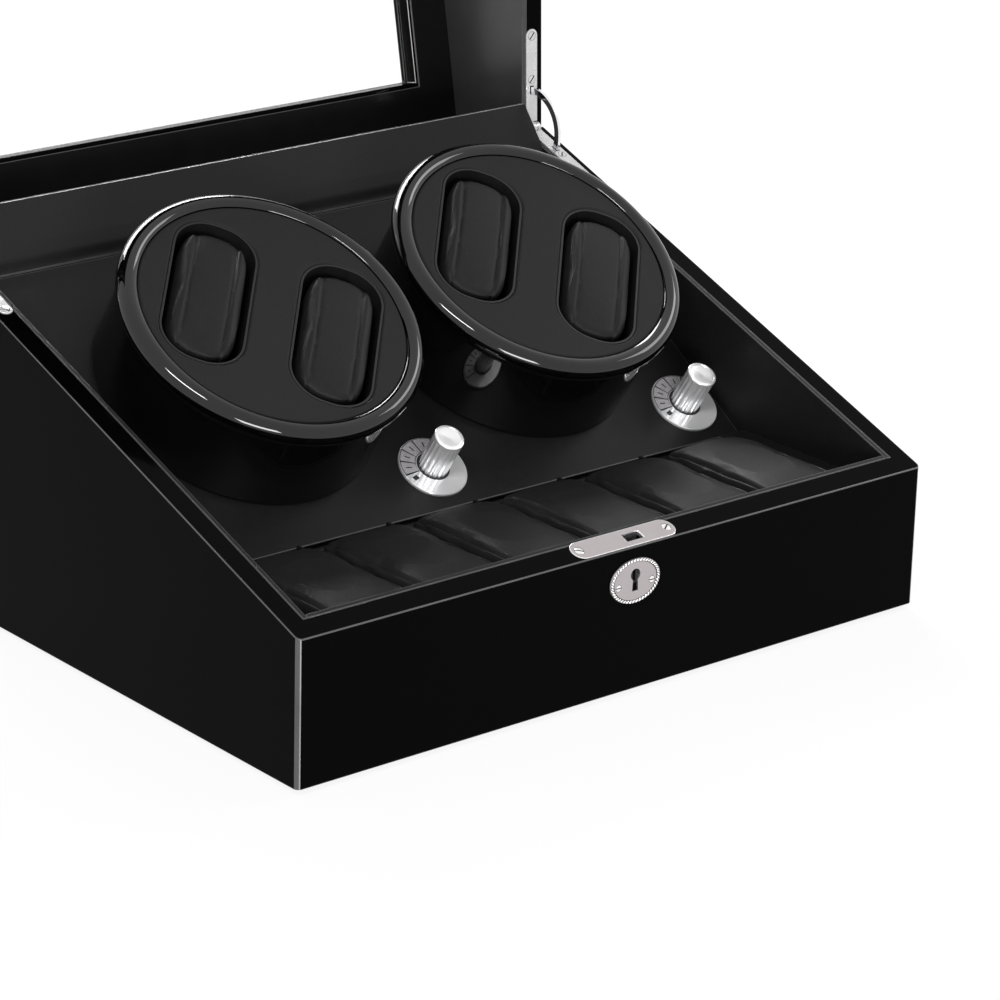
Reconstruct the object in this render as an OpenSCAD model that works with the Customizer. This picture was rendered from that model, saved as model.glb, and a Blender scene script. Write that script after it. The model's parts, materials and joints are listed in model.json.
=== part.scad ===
// Watch winder box: a lacquered case with two tilted turntables, a six-place tray and a glazed lid.
// Millimetres, +Z up, front towards -Y. The origin is the middle of the footprint, on the plane
// that the feet stand on. The lid is drawn open; its joint closes it about the hinge pins.

/* [Case] */
// Outside width of the case
case_w = 380; // [364:1:420]
// Outside depth of the case
case_d = 291; // [280:1:310]
// Height of the front panel above the case's lower edge
front_h = 71.5; // [68:0.5:80]
// Slope of the rim, in degrees
rim_slope = 20; // [16:0.5:22]
// Thickness of the lacquered walls
wall = 11; // [11:0.5:14]
// Thickness of the linings
lining_t = 2.5; // [2:0.5:4]
// Radius of the rounded upright front edges
edge_r = 3; // [1:0.5:5]
// Thickness of the base panel
base_t = 6; // [4:0.5:9]

/* [Feet] */
// Diameter of a foot
foot_d = 12; // [10:0.5:20]
// Height of a foot
foot_h = 3; // [2:0.5:8]
// Distance of a foot's centre from the outside faces
foot_inset = 20; // [18:1:40]

/* [Tray] */
// Length of the tray from the front lining to the riser
tray_l = 98.5; // [92:0.5:104]
// Height of the tray floor's upper face above the case's lower edge
tray_floor_h = 26; // [18:1:30]
// Thickness of the tray floor
tray_floor_t = 3; // [2:0.5:5]
// Width of the battens that carry the tray floor
batten_w = 12; // [8:1:16]
// Width of the ledge beside each outer compartment
side_ledge_w = 18.5; // [15:0.5:22]
// Thickness of a divider
divider_t = 2; // [1:0.5:2.5]
// Height of the dividers above the tray floor
divider_h = 36; // [30:1:38]
// Height of the side ledges above the tray floor
ledge_h = 35.5; // [30:0.5:38]

/* [Pillows] */
// Gap between a pillow and each divider
pillow_gap = 0.5; // [0.4:0.1:2]
// Length of a pillow from front to back
pillow_l = 84; // [70:1:86]
// Height of a pillow at its crown
pillow_h = 45; // [38:0.5:46]
// Rise of the pillow's crown across its width
pillow_crown_w = 5; // [2:0.5:8]
// Rise of the pillow's crown along its length
pillow_crown_l = 11; // [5:0.5:15]
// Radius of the pillow's upright corners
pillow_r = 8; // [4:0.5:15]
// Gap between the pillow and the front lining
pillow_front_gap = 2; // [1:0.5:5]

/* [Deck] */
// Thickness of the deck board
deck_t = 3.5; // [3:0.5:5]
// Height of the deck's front edge above the case's lower edge
deck_front_h = 58.9; // [55:0.1:61]
// Distance of the deck's front edge behind the riser's face
deck_setback = 3.3; // [2:0.1:5]
// Distance of the deck's rear edge in front of the rear lining
deck_rear_gap = 5.9; // [5:0.1:8]
// Depth of the deck's rear edge below the rim
deck_rear_drop = 8.7; // [8:0.1:14]
// Thickness of the riser below the deck
riser_t = 6.5; // [6:0.5:10]
// Width of the rails that carry the deck
rail_w = 12; // [8:1:14]
// Depth of the rails that carry the deck
rail_t = 12; // [8:1:20]

/* [Turntables] */
// Outer radius of a turntable's rim
rim_r = 76.6; // [72:0.2:78]
// Gap between the two rims
table_gap = 10; // [4:0.5:14]
// Distance of the turntable's axis up the slope from the deck's middle
table_shift = 1.4; // [-3:0.1:6]
// Height of the rim's crest above the deck
rim_top = 57; // [54:0.5:62]
// Diameter of the rim's round section
rim_bead_d = 11; // [10:0.5:12]
// Width of the rim's lip
rim_lip = 9.3; // [8.5:0.1:9.5]
// Inset of the drum's side from the rim's edge
drum_inset = 4.6; // [4:0.1:6]
// Thickness of the drum's wall
drum_t = 2.5; // [2:0.1:3.5]
// Gap between the drum and the deck
drum_gap = 1.2; // [1.1:0.1:1.8]
// Thickness of the padded disc
pad_t = 4; // [3:0.5:5]
// Width of the flange below the padded disc
pad_flange = 3.6; // [3:0.1:4]

/* [Pockets] */
// Width of a pocket for a watch cushion
pocket_w = 40; // [36:0.5:40]
// Length of a pocket
pocket_l = 90; // [80:0.5:90]
// Radius of a pocket's corners
pocket_r = 18; // [16:0.5:19]
// Distance of a pocket's middle from the turntable's axis
pocket_offset = 32; // [31:0.5:33]
// Angle of the pockets from the X axis, in degrees
pocket_angle = 52; // [0:1:90]
// Wall of a pocket liner
liner_t = 1.2; // [0.8:0.1:1.4]
// Gap round a watch cushion
cushion_gap = 3; // [1:0.5:6]
// Gap at each end of a watch cushion
cushion_end_gap = 3; // [1:0.5:8]
// Height that a watch cushion stands proud of the pad
cushion_proud = 3; // [0:0.5:8]
// Rise of a watch cushion's crown
cushion_crown = 6; // [2:0.5:10]

/* [Drive] */
// Radius of a turntable shaft
shaft_r = 3; // [2.5:0.1:4]
// Length of the shaft below the deck
shaft_drop = 17; // [14:0.5:20]
// Radius of the shaft's flange
shaft_flange_r = 9; // [8:0.5:10]
// Thickness of the flanges on the shaft and the bush
flange_t = 1; // [0.8:0.1:1]
// Radius of the bush in the deck
bush_r = 6; // [5:0.1:7]
// Radius of the gearbox
gearbox_r = 18.5; // [16:0.5:22]
// Height of the gearbox
gearbox_h = 16; // [14:0.5:20]
// Radius of the motor
motor_r = 12; // [10:0.5:15]
// Height of the motor
motor_h = 24; // [18:0.5:34]
// Thickness of the motor bracket
bracket_t = 2; // [1.5:0.1:3]
// Length of the motor bracket
bracket_l = 62; // [58:1:70]
// Width of the motor bracket
bracket_w = 30; // [24:1:36]
// Distance of a bracket screw from the shaft
bracket_screw_x = 26; // [25:0.5:27]

/* [Dials] */
// Radius of a dial plate
dial_r = 17.95; // [16:0.05:19]
// Thickness of a dial plate
dial_t = 1.5; // [1:0.1:2]
// Distance of the dials up the slope from the deck's front edge
dial_s = 24.5; // [22:0.5:27]
// Gap between the right dial plate and the side lining
dial_wall_gap = 2.4; // [1:0.1:6]
// Radius of a knob
knob_r = 7.7; // [7.2:0.1:9]
// Height of the knob's top above the deck
knob_top = 23.5; // [18:0.5:28]
// Gap between a knob and its dial plate
knob_gap = 0.8; // [0.4:0.1:1.2]
// Radius of the switch body
switch_r = 8; // [7:0.5:10]
// Height of the switch body
switch_h = 11; // [8:0.5:14]
// Radius of the switch's threaded neck
neck_r = 3.9; // [3.8:0.1:4.4]
// Radius of the switch's spindle
spindle_r = 3; // [2.5:0.1:3.1]
// Radius of the neck's nut, across its corners
nut_r = 6; // [5.6:0.1:6.2]
// Thickness of the neck's nut
nut_t = 2.2; // [1.5:0.1:3]

/* [Lid] */
// Height of the lid's hollow at its rear wall
lid_rear_h = 58.6; // [55:0.1:70]
// Slope of the lid's top, in degrees
lid_slope = 11.2; // [8:0.1:14]
// Gap between the closed rims
rim_gap = 0.8; // [0.7:0.1:1.2]
// Angle through which the lid opens, in degrees
lid_open = 112.5; // [95:0.5:115]
// Width of the lid's lining round the window
window_border = 22.5; // [18:0.5:40]
// Width of the bead that holds the glass
bead_w = 2.2; // [1.5:0.1:6]
// Thickness of the glass
glass_t = 3; // [2:0.5:4]
// Thickness of the lacquered lip over the glass
glass_lip_t = 3; // [2:0.5:4]

/* [Hinges] */
// Distance of the hinge pins behind the back face
pin_back = 0.2; // [0.1:0.1:0.5]
// Radius of a hinge pin
pin_r = 1.1; // [0.8:0.1:1.3]
// Radius of the hinge knuckles
knuckle_r = 3; // [2.6:0.1:3.2]
// Width of a hinge leaf
leaf_w = 7.5; // [6.5:0.5:8]
// Distance of the hinge leaves from the outside of the side walls
leaf_inset = 3.25; // [2.5:0.05:3.5]
// Length of a leaf on the case
case_leaf_l = 60; // [55:1:70]
// Length of a leaf on the lid
lid_leaf_l = 53; // [52:1:70]
// Thickness of a leaf
leaf_t = 1.6; // [1.4:0.1:1.8]
// Height that leaves and lock plate stand proud of the rim
leaf_proud = 0.25; // [0.1:0.05:0.25]
// Middle radius of the lid stays
stay_r = 20.4; // [20:0.1:21]
// Width of a lid stay
stay_w = 3.6; // [3:0.1:4]
// Thickness of a lid stay
stay_t = 1.8; // [1.2:0.1:2]
// Length of a lid stay that stays in each slot, in degrees
stay_hold = 8; // [6:0.5:9]
// Thickness of the leather strip over the hinge gap
strip_t = 1.2; // [0.8:0.1:1.5]

/* [Lock] */
// Distance of the lock to the right of the case's middle
lock_x = 2; // [-10:1:10]
// Length of the lock plate
lock_plate_l = 62; // [58:1:70]
// Width of the lock plate
lock_plate_w = 12; // [11.5:0.1:12.2]
// Thickness of the lock plate
lock_plate_t = 1.2; // [1:0.1:1.5]
// Distance of the lock plate's middle from the front face
lock_plate_y = 6.3; // [6.2:0.1:6.6]
// Distance of the slot to the right of the lock plate's middle
slot_x = 6; // [4:0.5:8]
// Length of the slot
slot_l = 10; // [9:0.5:12]
// Width of the slot
slot_w = 5; // [4:0.1:5]
// Distance of a lock screw from the plate's middle
lock_screw_x = 26.65; // [26:0.05:27]
// Length of the lock case
lock_case_l = 44; // [40:1:46]
// Thickness of the lock case
lock_case_t = 8.6; // [8.4:0.1:8.7]
// Height of the lock case
lock_case_h = 30; // [26:1:34]
// Wall of the lock case
lock_wall = 0.8; // [0.6:0.1:0.9]
// Distance of the lock case from the front face
lock_skin = 1.8; // [1.6:0.1:2]
// Length of the strike's tongue below the closed rims
tongue_l = 6.3; // [6:0.1:6.6]
// Length of the strike plate
strike_l = 40; // [36:1:50]
// Width of the strike plate
strike_w = 9; // [8:0.5:10]
// Travel of the lock bolt
bolt_travel = 4; // [3:0.5:4]

/* [Escutcheon] */
// Length of the oval escutcheon
escutcheon_l = 30.5; // [30:0.5:36]
// Height of the oval escutcheon
escutcheon_h = 22; // [21:0.5:25]
// Thickness of the escutcheon
escutcheon_t = 1.6; // [1:0.1:2]
// Distance of the escutcheon's middle to the right of the lock plate's middle
escutcheon_x = 2.2; // [0:0.1:4]
// Height of the escutcheon's middle above the case's lower edge
escutcheon_z = 55; // [53:0.5:58]
// Height of the key core's axis above the escutcheon's middle
keyhole_rise = 3; // [2:0.5:4]
// Radius of the key core
core_r = 4.5; // [4:0.1:4.8]
// Distance of an escutcheon screw from its middle
escutcheon_screw_x = 10.2; // [10:0.1:10.6]
// Depth of the escutcheon's screws below its middle
escutcheon_screw_drop = 1.6; // [1:0.1:2]
// Length of the escutcheon's screws, which hold in the lock case
escutcheon_screw_l = 5; // [4.6:0.1:6]

/* [Electrics] */
// Width of the control board
board_w = 90; // [70:1:110]
// Depth of the control board
board_d = 60; // [45:1:70]
// Thickness of the control board
board_t = 1.6; // [1:0.2:2]
// Height of the pillars below the control board
board_rise = 5; // [3:0.5:10]
// Distance of the power socket to the right of the case's middle
socket_x = 120; // [60:1:140]
// Height of the power socket above the case's lower edge
socket_z = 30; // [22:1:45]
// Radius of the power socket's body
socket_r = 5.5; // [5:0.1:7]
// Radius of the power socket's mouth
socket_bore_r = 3.2; // [2.8:0.1:3.4]
// Radius of the power socket's centre pin
socket_pin_r = 1; // [0.8:0.1:1.3]
// Radius of the power socket's flange
socket_flange_r = 8; // [7.5:0.1:10]

/* [Fasteners and fits] */
// Radius of a small screw's shank
screw_r = 1.1; // [0.9:0.1:1.2]
// Radius of a small screw's head
screw_head_r = 2.3; // [2:0.1:2.4]
// Depth of a small screw's countersunk head
screw_head_h = 1.1; // [0.9:0.1:1.1]
// Length of a small screw
screw_l = 9; // [7:0.5:11]
// Radial play of a shaft in its bearing
shaft_play = 0.05; // [0.03:0.01:0.08]
// Gap between pieces that are fitted by hand
fit_gap = 0.1; // [0.05:0.01:0.2]
// Gap under a soft piece
soft_gap = 0.3; // [0.3:0.05:0.6]

/* [Hidden] */

$fn = 64;
pillow_count = 6;
eps = 0.5;

// Planes and faces of the case
front_y = -case_d / 2;
back_y = case_d / 2;
side_x = case_w / 2;
lining_x = side_x - wall;
inner_x = lining_x - lining_t;
inner_front_y = front_y + wall + lining_t;
inner_back_y = back_y - wall - lining_t;
base_top = foot_h + base_t;
function rim_z(y) = foot_h + front_h + (y - front_y) * tan(rim_slope);

// Tray
tray_floor_z = foot_h + tray_floor_h;
tray_half = inner_x - side_ledge_w;
compartment_w = (2 * tray_half - (pillow_count - 1) * divider_t) / pillow_count;
pitch = compartment_w + divider_t;
riser_y = inner_front_y + tray_l;

// Deck: its upper face runs from the front edge to a point below the rear rim
deck_y = riser_y + deck_setback;
deck_z = foot_h + deck_front_h;
deck_end_y = inner_back_y - deck_rear_gap;
deck_end_z = rim_z(deck_end_y) - deck_rear_drop;
deck_slope = atan2(deck_end_z - deck_z, deck_end_y - deck_y);
deck_len = norm([deck_end_y - deck_y, deck_end_z - deck_z]);
deck_half = inner_x - fit_gap;
ledge_y = deck_y + deck_t * sin(deck_slope);
ledge_z = deck_z - deck_t * cos(deck_slope);

// Turntables
table_x = rim_r + table_gap / 2;
table_s = deck_len / 2 + table_shift;
drum_r = rim_r - drum_inset;
rim_bead_r = rim_bead_d / 2;
rim_bead_x = rim_r - rim_bead_r;
rim_bead_z = rim_top - rim_bead_r;
rim_in = rim_r - rim_lip;
rim_skirt_z = rim_top - rim_bead_d - 2;
pad_top = rim_bead_z + sqrt(rim_bead_r ^ 2 - (rim_bead_x - rim_in) ^ 2);
pad_z = pad_top - pad_t;
flange_z = pad_z - 3;
drum_floor_z = drum_gap + drum_t;
pocket_depth = pad_top - drum_floor_z - liner_t;
hub_top = drum_floor_z + 3;

// Dials and switches
dial_x = inner_x - dial_wall_gap - dial_r - table_x;
knob_z = dial_t + knob_gap;
neck_top = dial_t + nut_t + 1;
knob_hollow_h = neck_top + 0.5;
knob_roof = 3.5;
spindle_top = knob_top - knob_roof - 0.5;

// Lid, in its closed place
lid_rim_rise = rim_gap / cos(rim_slope);
lid_ceiling_mid = rim_z(inner_back_y) + lid_rim_rise + lid_rear_h - inner_back_y * tan(lid_slope);
function lid_rim_z(y) = rim_z(y) + lid_rim_rise;
function lid_ceiling_z(y) = lid_ceiling_mid + y * tan(lid_slope);
function lid_under_z(y) = lid_ceiling_z(y) + lining_t / cos(lid_slope);
function lid_top_z(y) = lid_under_z(y) + wall / cos(lid_slope);
window_x = inner_x - window_border;
window_y = inner_back_y / cos(lid_slope) - window_border;
glass_top = lining_t + wall - glass_lip_t;
glass_z = glass_top - glass_t;

// Hinges
pin_y = back_y + pin_back;
pin_z = rim_z(pin_y);
leaf_x = side_x - leaf_inset - leaf_w / 2;
leaf_sink = leaf_t - leaf_proud;
knuckle_w = leaf_w / 3;
knuckle_side = 0.1;
lid_rim_angle = 180 + rim_slope;
lid_rest_angle = lid_rim_angle - lid_open;
stay_swing = lid_open / 2;
stay_from = lid_rest_angle - stay_hold;
stay_to = lid_rim_angle + stay_hold;
stay_slot_t = stay_t + 0.8;
stay_slot_in = stay_r - stay_w / 2 - 0.5;
stay_slot_out = stay_r + stay_w / 2 + 0.5;
case_slot_end = stay_to + stay_swing + 2;
lid_slot_end = stay_from + stay_swing - 2;
leaf_screw_near = stay_slot_out + screw_head_r + 1;
leaf_screw_far = case_leaf_l - leaf_w / 2;
lid_screw_far = lid_leaf_l - leaf_w / 2;

// Lock
lock_face_y = front_y + lock_skin;
lock_back_y = lock_face_y + lock_case_t;
plate_y = front_y + lock_plate_y;
plate_sink = lock_plate_t - leaf_proud;
tongue_w = slot_l - 2;
tongue_t = 2;
tongue_x = lock_x + slot_x;
bolt_t = 3;
bolt_l = 14;
notch_low = 4.9;
notch_high = 2.5;
notch_gap = 0.3;
key_x = lock_x + escutcheon_x;
escutcheon_zc = foot_h + escutcheon_z;
key_z = escutcheon_zc + keyhole_rise;
core_back = lock_back_y - lock_wall - fit_gap;
lock_drop = plate_sink / cos(rim_slope) + fit_gap;
key_slot_w = 1.8;
keyhole_r = 2.9;
keyhole_w = 3.6;
keyhole_l = 8;

// Control board and power socket
board_gap = 30;
board_y = inner_back_y - board_d / 2 - board_gap;
// The board's chips: place, length, width and height, and its capacitor: place, radius and height
chips = [[-20, 8, 22, 16, 5], [16, -10, 14, 14, 2]];
capacitor = [30, 14, 5, 12];
socket_l = wall + lining_t + 6;
socket_flange_t = 1.5;
socket_zc = foot_h + socket_z;

// A prism along X between x0 and x1, its outline given in the YZ plane
module along_x(x0, x1) {
    translate([x0, 0, 0]) rotate([90, 0, 90]) linear_extrude(x1 - x0) children();
}

// Places its children on the deck's upper face, at x and s up the slope, with Z square to it
module on_deck(x, s) {
    translate([x, deck_y + s * cos(deck_slope), deck_z + s * sin(deck_slope)])
        rotate([deck_slope, 0, 0]) children();
}

// Places its children on the case's rim, at x and y, with Z square to it
module on_rim(x, y) {
    translate([x, y, rim_z(y)]) rotate([rim_slope, 0, 0]) children();
}

// Places its children on the closed lid's ceiling, with Z square to it
module on_ceiling() {
    translate([0, 0, lid_ceiling_z(0)]) rotate([lid_slope, 0, 0]) children();
}

// Swings pieces drawn in the closed lid to the open lid
module opened() {
    translate([0, pin_y, pin_z]) rotate([-lid_open, 0, 0]) translate([0, -pin_y, -pin_z]) children();
}

// A ring sector round the hinge pins, between two angles from +Y towards +Z
module sector(x, r0, r1, t, from, to) {
    translate([x, pin_y, pin_z]) rotate([90, 0, 90]) rotate([0, 0, from])
        rotate_extrude(angle = to - from) translate([r0, -t / 2]) square([r1 - r0, t]);
}

// A cylinder along X between x0 and x1, on the line of the hinge pins
module on_pin(x0, x1, r) {
    translate([x0, pin_y, pin_z]) rotate([0, 90, 0]) cylinder(h = x1 - x0, r = r);
}

// A block centred in x and y that stands on z0
module block(w, d, z0, z1) {
    translate([-w / 2, -d / 2, z0]) cube([w, d, z1 - z0]);
}

// A flat outline with round corners, centred
module rounded(w, l, r) {
    square([w, l - 2 * r], center = true);
    square([w - 2 * r, l], center = true);
    for (sx = [-1, 1]) for (sy = [-1, 1])
        translate([sx * (w / 2 - r), sy * (l / 2 - r)]) circle(r);
}

// The outline of the case from above, with its front corners rounded
module footprint() {
    translate([-side_x, front_y + edge_r]) square([case_w, case_d - edge_r]);
    translate([-side_x + edge_r, front_y]) square([case_w - 2 * edge_r, edge_r + eps]);
    for (s = [-1, 1]) translate([s * (side_x - edge_r), front_y + edge_r]) circle(edge_r);
}

// An oval outline
module oval(l, h) {
    polygon([for (a = [0 : 7.5 : 352.5]) [l / 2 * cos(a), h / 2 * sin(a)]]);
}

// A countersunk screw along -Z with its head's face at z = 0; grow makes its clearance hole
module screw(l, grow = 0) {
    translate([0, 0, -screw_head_h])
        cylinder(h = screw_head_h + grow, r1 = screw_r + grow, r2 = screw_head_r + grow);
    translate([0, 0, -l - grow]) cylinder(h = l + grow - screw_head_h / 2, r = screw_r + grow);
}

// ---- Case ----

module case_shell() {
    color([0.02, 0.02, 0.022]) difference() {
        intersection() {
            along_x(-side_x, side_x) polygon([
                [front_y, foot_h], [back_y, foot_h], [back_y, rim_z(back_y)], [front_y, rim_z(front_y)]
            ]);
            linear_extrude(rim_z(back_y) + eps) footprint();
        }
        block(2 * lining_x, case_d - 2 * wall, foot_h - eps, rim_z(back_y) + eps);
        for (s = [-1, 1]) hinge_room(s);
        lock_room();
        translate([socket_x, back_y + eps, socket_zc]) rotate([90, 0, 0])
            cylinder(h = wall + 2 * eps, r = socket_r + fit_gap);
    }
}

// A leaf seen from above, from a distance near the pin to its rounded end
module leaf_outline(l, near, grow) {
    w = leaf_w + 2 * grow;
    translate([-w / 2, -l + leaf_w / 2]) square([w, l - leaf_w / 2 - near]);
    translate([0, -l + leaf_w / 2]) circle(w / 2);
}

// The recess for a leaf, its screws, its knuckles and its stay, cut from the case
module hinge_room(s) {
    translate([s * leaf_x, pin_y, pin_z]) rotate([rim_slope, 0, 0]) {
        translate([0, 0, -leaf_sink]) linear_extrude(leaf_t + 1)
            leaf_outline(case_leaf_l, -knuckle_r, fit_gap);
        for (y = [leaf_screw_near, leaf_screw_far]) translate([0, -y, leaf_proud]) screw(screw_l, fit_gap);
    }
    on_pin(s * leaf_x - leaf_w / 2 - 2 * fit_gap, s * leaf_x + leaf_w / 2 + 2 * fit_gap,
        knuckle_r + notch_gap);
    sector(s * leaf_x, stay_slot_in, stay_slot_out, stay_slot_t, lid_rim_angle - 4, case_slot_end);
}

// The recess for the lock plate, the mortise for the lock case and the hole for the key core
module lock_room() {
    lock_plate_room();
    on_rim(lock_x, plate_y)
        for (s = [-1, 1]) translate([s * lock_screw_x, 0, leaf_proud]) screw(screw_l, fit_gap);
    along_x(lock_x - lock_case_l / 2 - fit_gap, lock_x + lock_case_l / 2 + fit_gap)
        lock_case_outline(fit_gap, rim_gap);
    translate([key_x, front_y - eps, key_z]) rotate([-90, 0, 0])
        cylinder(h = lock_skin + 2 * eps, r = core_r + 3 * fit_gap);
    for (s = [-1, 1]) escutcheon_screw_place(s) screw(escutcheon_screw_l, fit_gap);
}

module lock_plate_room() {
    on_rim(lock_x, plate_y) translate([0, 0, -plate_sink]) linear_extrude(lock_plate_t + 1)
        rounded(lock_plate_l + 2 * fit_gap, lock_plate_w + 2 * fit_gap, lock_plate_w / 2);
}

module lock_case_outline(grow, rise) {
    polygon([
        [lock_face_y - grow, rim_z(lock_face_y) - lock_case_h - grow],
        [lock_back_y + grow, rim_z(lock_face_y) - lock_case_h - grow],
        [lock_back_y + grow, rim_z(lock_back_y + grow) - lock_drop + rise],
        [lock_face_y - grow, rim_z(lock_face_y - grow) - lock_drop + rise]
    ]);
}

module escutcheon_screw_place(s) {
    translate([
        key_x + s * escutcheon_screw_x, front_y - escutcheon_t, escutcheon_zc - escutcheon_screw_drop
    ]) rotate([90, 0, 0]) children();
}

module base_panel() {
    color([0.05, 0.045, 0.04]) difference() {
        block(2 * lining_x, case_d - 2 * wall, foot_h, base_top);
        for (sx = [-1, 1]) for (sy = [-1, 1]) foot_place(sx, sy) foot_screw(fit_gap);
    }
}

module foot_place(sx, sy) {
    translate([sx * (side_x - foot_inset), sy * (back_y - foot_inset), 0]) children();
}

// A screw driven up through a foot, its head sunk in the foot
module foot_screw(grow = 0) {
    translate([0, 0, foot_h / 2]) rotate([180, 0, 0]) screw(foot_h / 2 + base_t - 1, grow);
}

module feet() {
    color([0.8, 0.8, 0.78]) for (sx = [-1, 1]) for (sy = [-1, 1]) foot_place(sx, sy)
        difference() {
            cylinder(h = foot_h, d = foot_d);
            translate([0, 0, -eps]) cylinder(h = foot_h / 2 + eps, r = screw_head_r + fit_gap);
            foot_screw(fit_gap);
        }
}

module foot_screws() {
    color("silver") for (sx = [-1, 1]) for (sy = [-1, 1]) foot_place(sx, sy) foot_screw();
}

module case_linings() {
    y0 = front_y + wall;
    y1 = back_y - wall;
    between = inner_x - fit_gap;
    color([0.1, 0.1, 0.105]) {
        for (s = [-1, 1]) along_x(s > 0 ? inner_x : -lining_x, s > 0 ? lining_x : -inner_x)
            polygon([[y0, base_top], [y1, base_top], [y1, rim_z(y1)], [y0, rim_z(y0)]]);
        difference() {
            along_x(-between, between) polygon([
                [y0, base_top], [inner_front_y, base_top],
                [inner_front_y, rim_z(inner_front_y)], [y0, rim_z(y0)]
            ]);
            lock_plate_room();
        }
        difference() {
            along_x(-between, between) polygon([
                [inner_back_y, base_top], [y1, base_top], [y1, rim_z(y1)], [inner_back_y, rim_z(inner_back_y)]
            ]);
            translate([socket_x, back_y, socket_zc]) rotate([90, 0, 0])
                cylinder(h = wall + lining_t + eps, r = socket_r + fit_gap);
        }
    }
}

// ---- Tray ----

module tray_floor() {
    color([0.08, 0.08, 0.085]) translate([-inner_x, inner_front_y, tray_floor_z - tray_floor_t])
        cube([2 * inner_x, tray_l, tray_floor_t]);
}

module tray_ledges() {
    color([0.1, 0.1, 0.105]) for (s = [-1, 1])
        translate([s > 0 ? tray_half : -inner_x, inner_front_y, tray_floor_z])
            cube([side_ledge_w, tray_l, ledge_h]);
}

module tray_dividers() {
    color([0.1, 0.1, 0.105]) for (i = [1 : pillow_count - 1])
        translate([-tray_half - divider_t + i * pitch, inner_front_y, tray_floor_z])
            cube([divider_t, tray_l, divider_h]);
}

module riser() {
    back = riser_y + riser_t;
    color([0.1, 0.1, 0.105]) along_x(-deck_half, deck_half) polygon([
        [riser_y, base_top], [back, base_top], [back, ledge_z + (back - ledge_y) * tan(deck_slope)],
        [ledge_y, ledge_z], [riser_y, ledge_z]
    ]);
}

// A pillow in place i, from 0 at the left
module pillow(i) {
    w = compartment_w - 2 * pillow_gap;
    rw = (w ^ 2 / 4 + pillow_crown_w ^ 2) / (2 * pillow_crown_w);
    rl = (pillow_l ^ 2 / 4 + pillow_crown_l ^ 2) / (2 * pillow_crown_l);
    x = -tray_half + compartment_w / 2 + i * pitch;
    y = inner_front_y + pillow_front_gap + pillow_l / 2;
    color([0.03, 0.03, 0.032]) translate([x, y, tray_floor_z + soft_gap]) intersection() {
        linear_extrude(pillow_h) rounded(w, pillow_l, pillow_r);
        translate([0, pillow_l, pillow_h - rw]) rotate([90, 0, 0])
            cylinder(h = 2 * pillow_l, r = rw, $fn = 128);
        translate([-w, 0, pillow_h - rl]) rotate([0, 90, 0]) cylinder(h = 2 * w, r = rl, $fn = 128);
    }
}

// ---- Deck ----

module deck() {
    color([0.12, 0.12, 0.125]) difference() {
        on_deck(0, 0) translate([-deck_half, 0, -deck_t]) cube([2 * deck_half, deck_len, deck_t]);
        for (s = [-1, 1]) {
            on_deck(s * table_x, table_s) translate([0, 0, -deck_t - eps])
                cylinder(h = deck_t + 2 * eps, r = bush_r + fit_gap);
            on_deck(s * table_x + dial_x, dial_s) translate([0, 0, -deck_t - eps])
                cylinder(h = deck_t + 2 * eps, r = neck_r + fit_gap);
            on_deck(s * table_x, table_s) bracket_screws(fit_gap);
        }
    }
}

// Battens under the tray floor and rails under the deck, all against the linings
module support_battens() {
    gap = riser_t / cos(deck_slope);
    color([0.6, 0.5, 0.36]) {
        for (s = [-1, 1]) {
            translate([s > 0 ? inner_x - batten_w : -inner_x, inner_front_y, base_top])
                cube([batten_w, tray_l, tray_floor_z - tray_floor_t - base_top]);
            on_deck(0, 0) translate([s > 0 ? inner_x - rail_w : -inner_x, gap, -deck_t - rail_t])
                cube([rail_w, deck_len - gap - rail_t, rail_t]);
        }
    }
}

module dial_plates() {
    color([0.85, 0.85, 0.86]) for (s = [-1, 1]) on_deck(s * table_x + dial_x, dial_s)
        difference() {
            cylinder(h = dial_t, r = dial_r, $fn = 128);
            translate([0, 0, -eps]) cylinder(h = dial_t + 2 * eps, r = neck_r + fit_gap);
        }
}

module rotary_switches() {
    color([0.16, 0.16, 0.17]) for (s = [-1, 1]) on_deck(s * table_x + dial_x, dial_s)
        difference() {
            union() {
                translate([0, 0, -deck_t - switch_h]) cylinder(h = switch_h, r = switch_r);
                translate([0, 0, -deck_t - eps]) cylinder(h = deck_t + neck_top + eps, r = neck_r);
            }
            translate([0, 0, -deck_t - switch_h + 2])
                cylinder(h = switch_h + neck_top + deck_t, r = spindle_r + shaft_play);
        }
}

module switch_nuts() {
    color("silver") for (s = [-1, 1]) on_deck(s * table_x + dial_x, dial_s)
        translate([0, 0, dial_t]) difference() {
            cylinder(h = nut_t, r = nut_r, $fn = 6);
            translate([0, 0, -eps]) cylinder(h = nut_t + 2 * eps, r = neck_r + shaft_play);
        }
}

// The knob's cap and the switch spindle that it is pushed onto
module knob(s) {
    color([0.85, 0.85, 0.87]) on_deck(s * table_x + dial_x, dial_s) {
        difference() {
            translate([0, 0, knob_z]) cylinder(h = knob_top - knob_z, r = knob_r, $fn = 96);
            translate([0, 0, knob_z - eps])
                cylinder(h = knob_hollow_h - knob_z + eps, r = nut_r + fit_gap);
            translate([0, 0, knob_z - eps])
                cylinder(h = knob_top - knob_roof - knob_z + eps, r = spindle_r + shaft_play);
        }
        translate([0, 0, -deck_t - switch_h + 2 + fit_gap])
            cylinder(h = spindle_top + deck_t + switch_h - 2 - fit_gap, r = spindle_r);
    }
}

// ---- Drive ----

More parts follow.
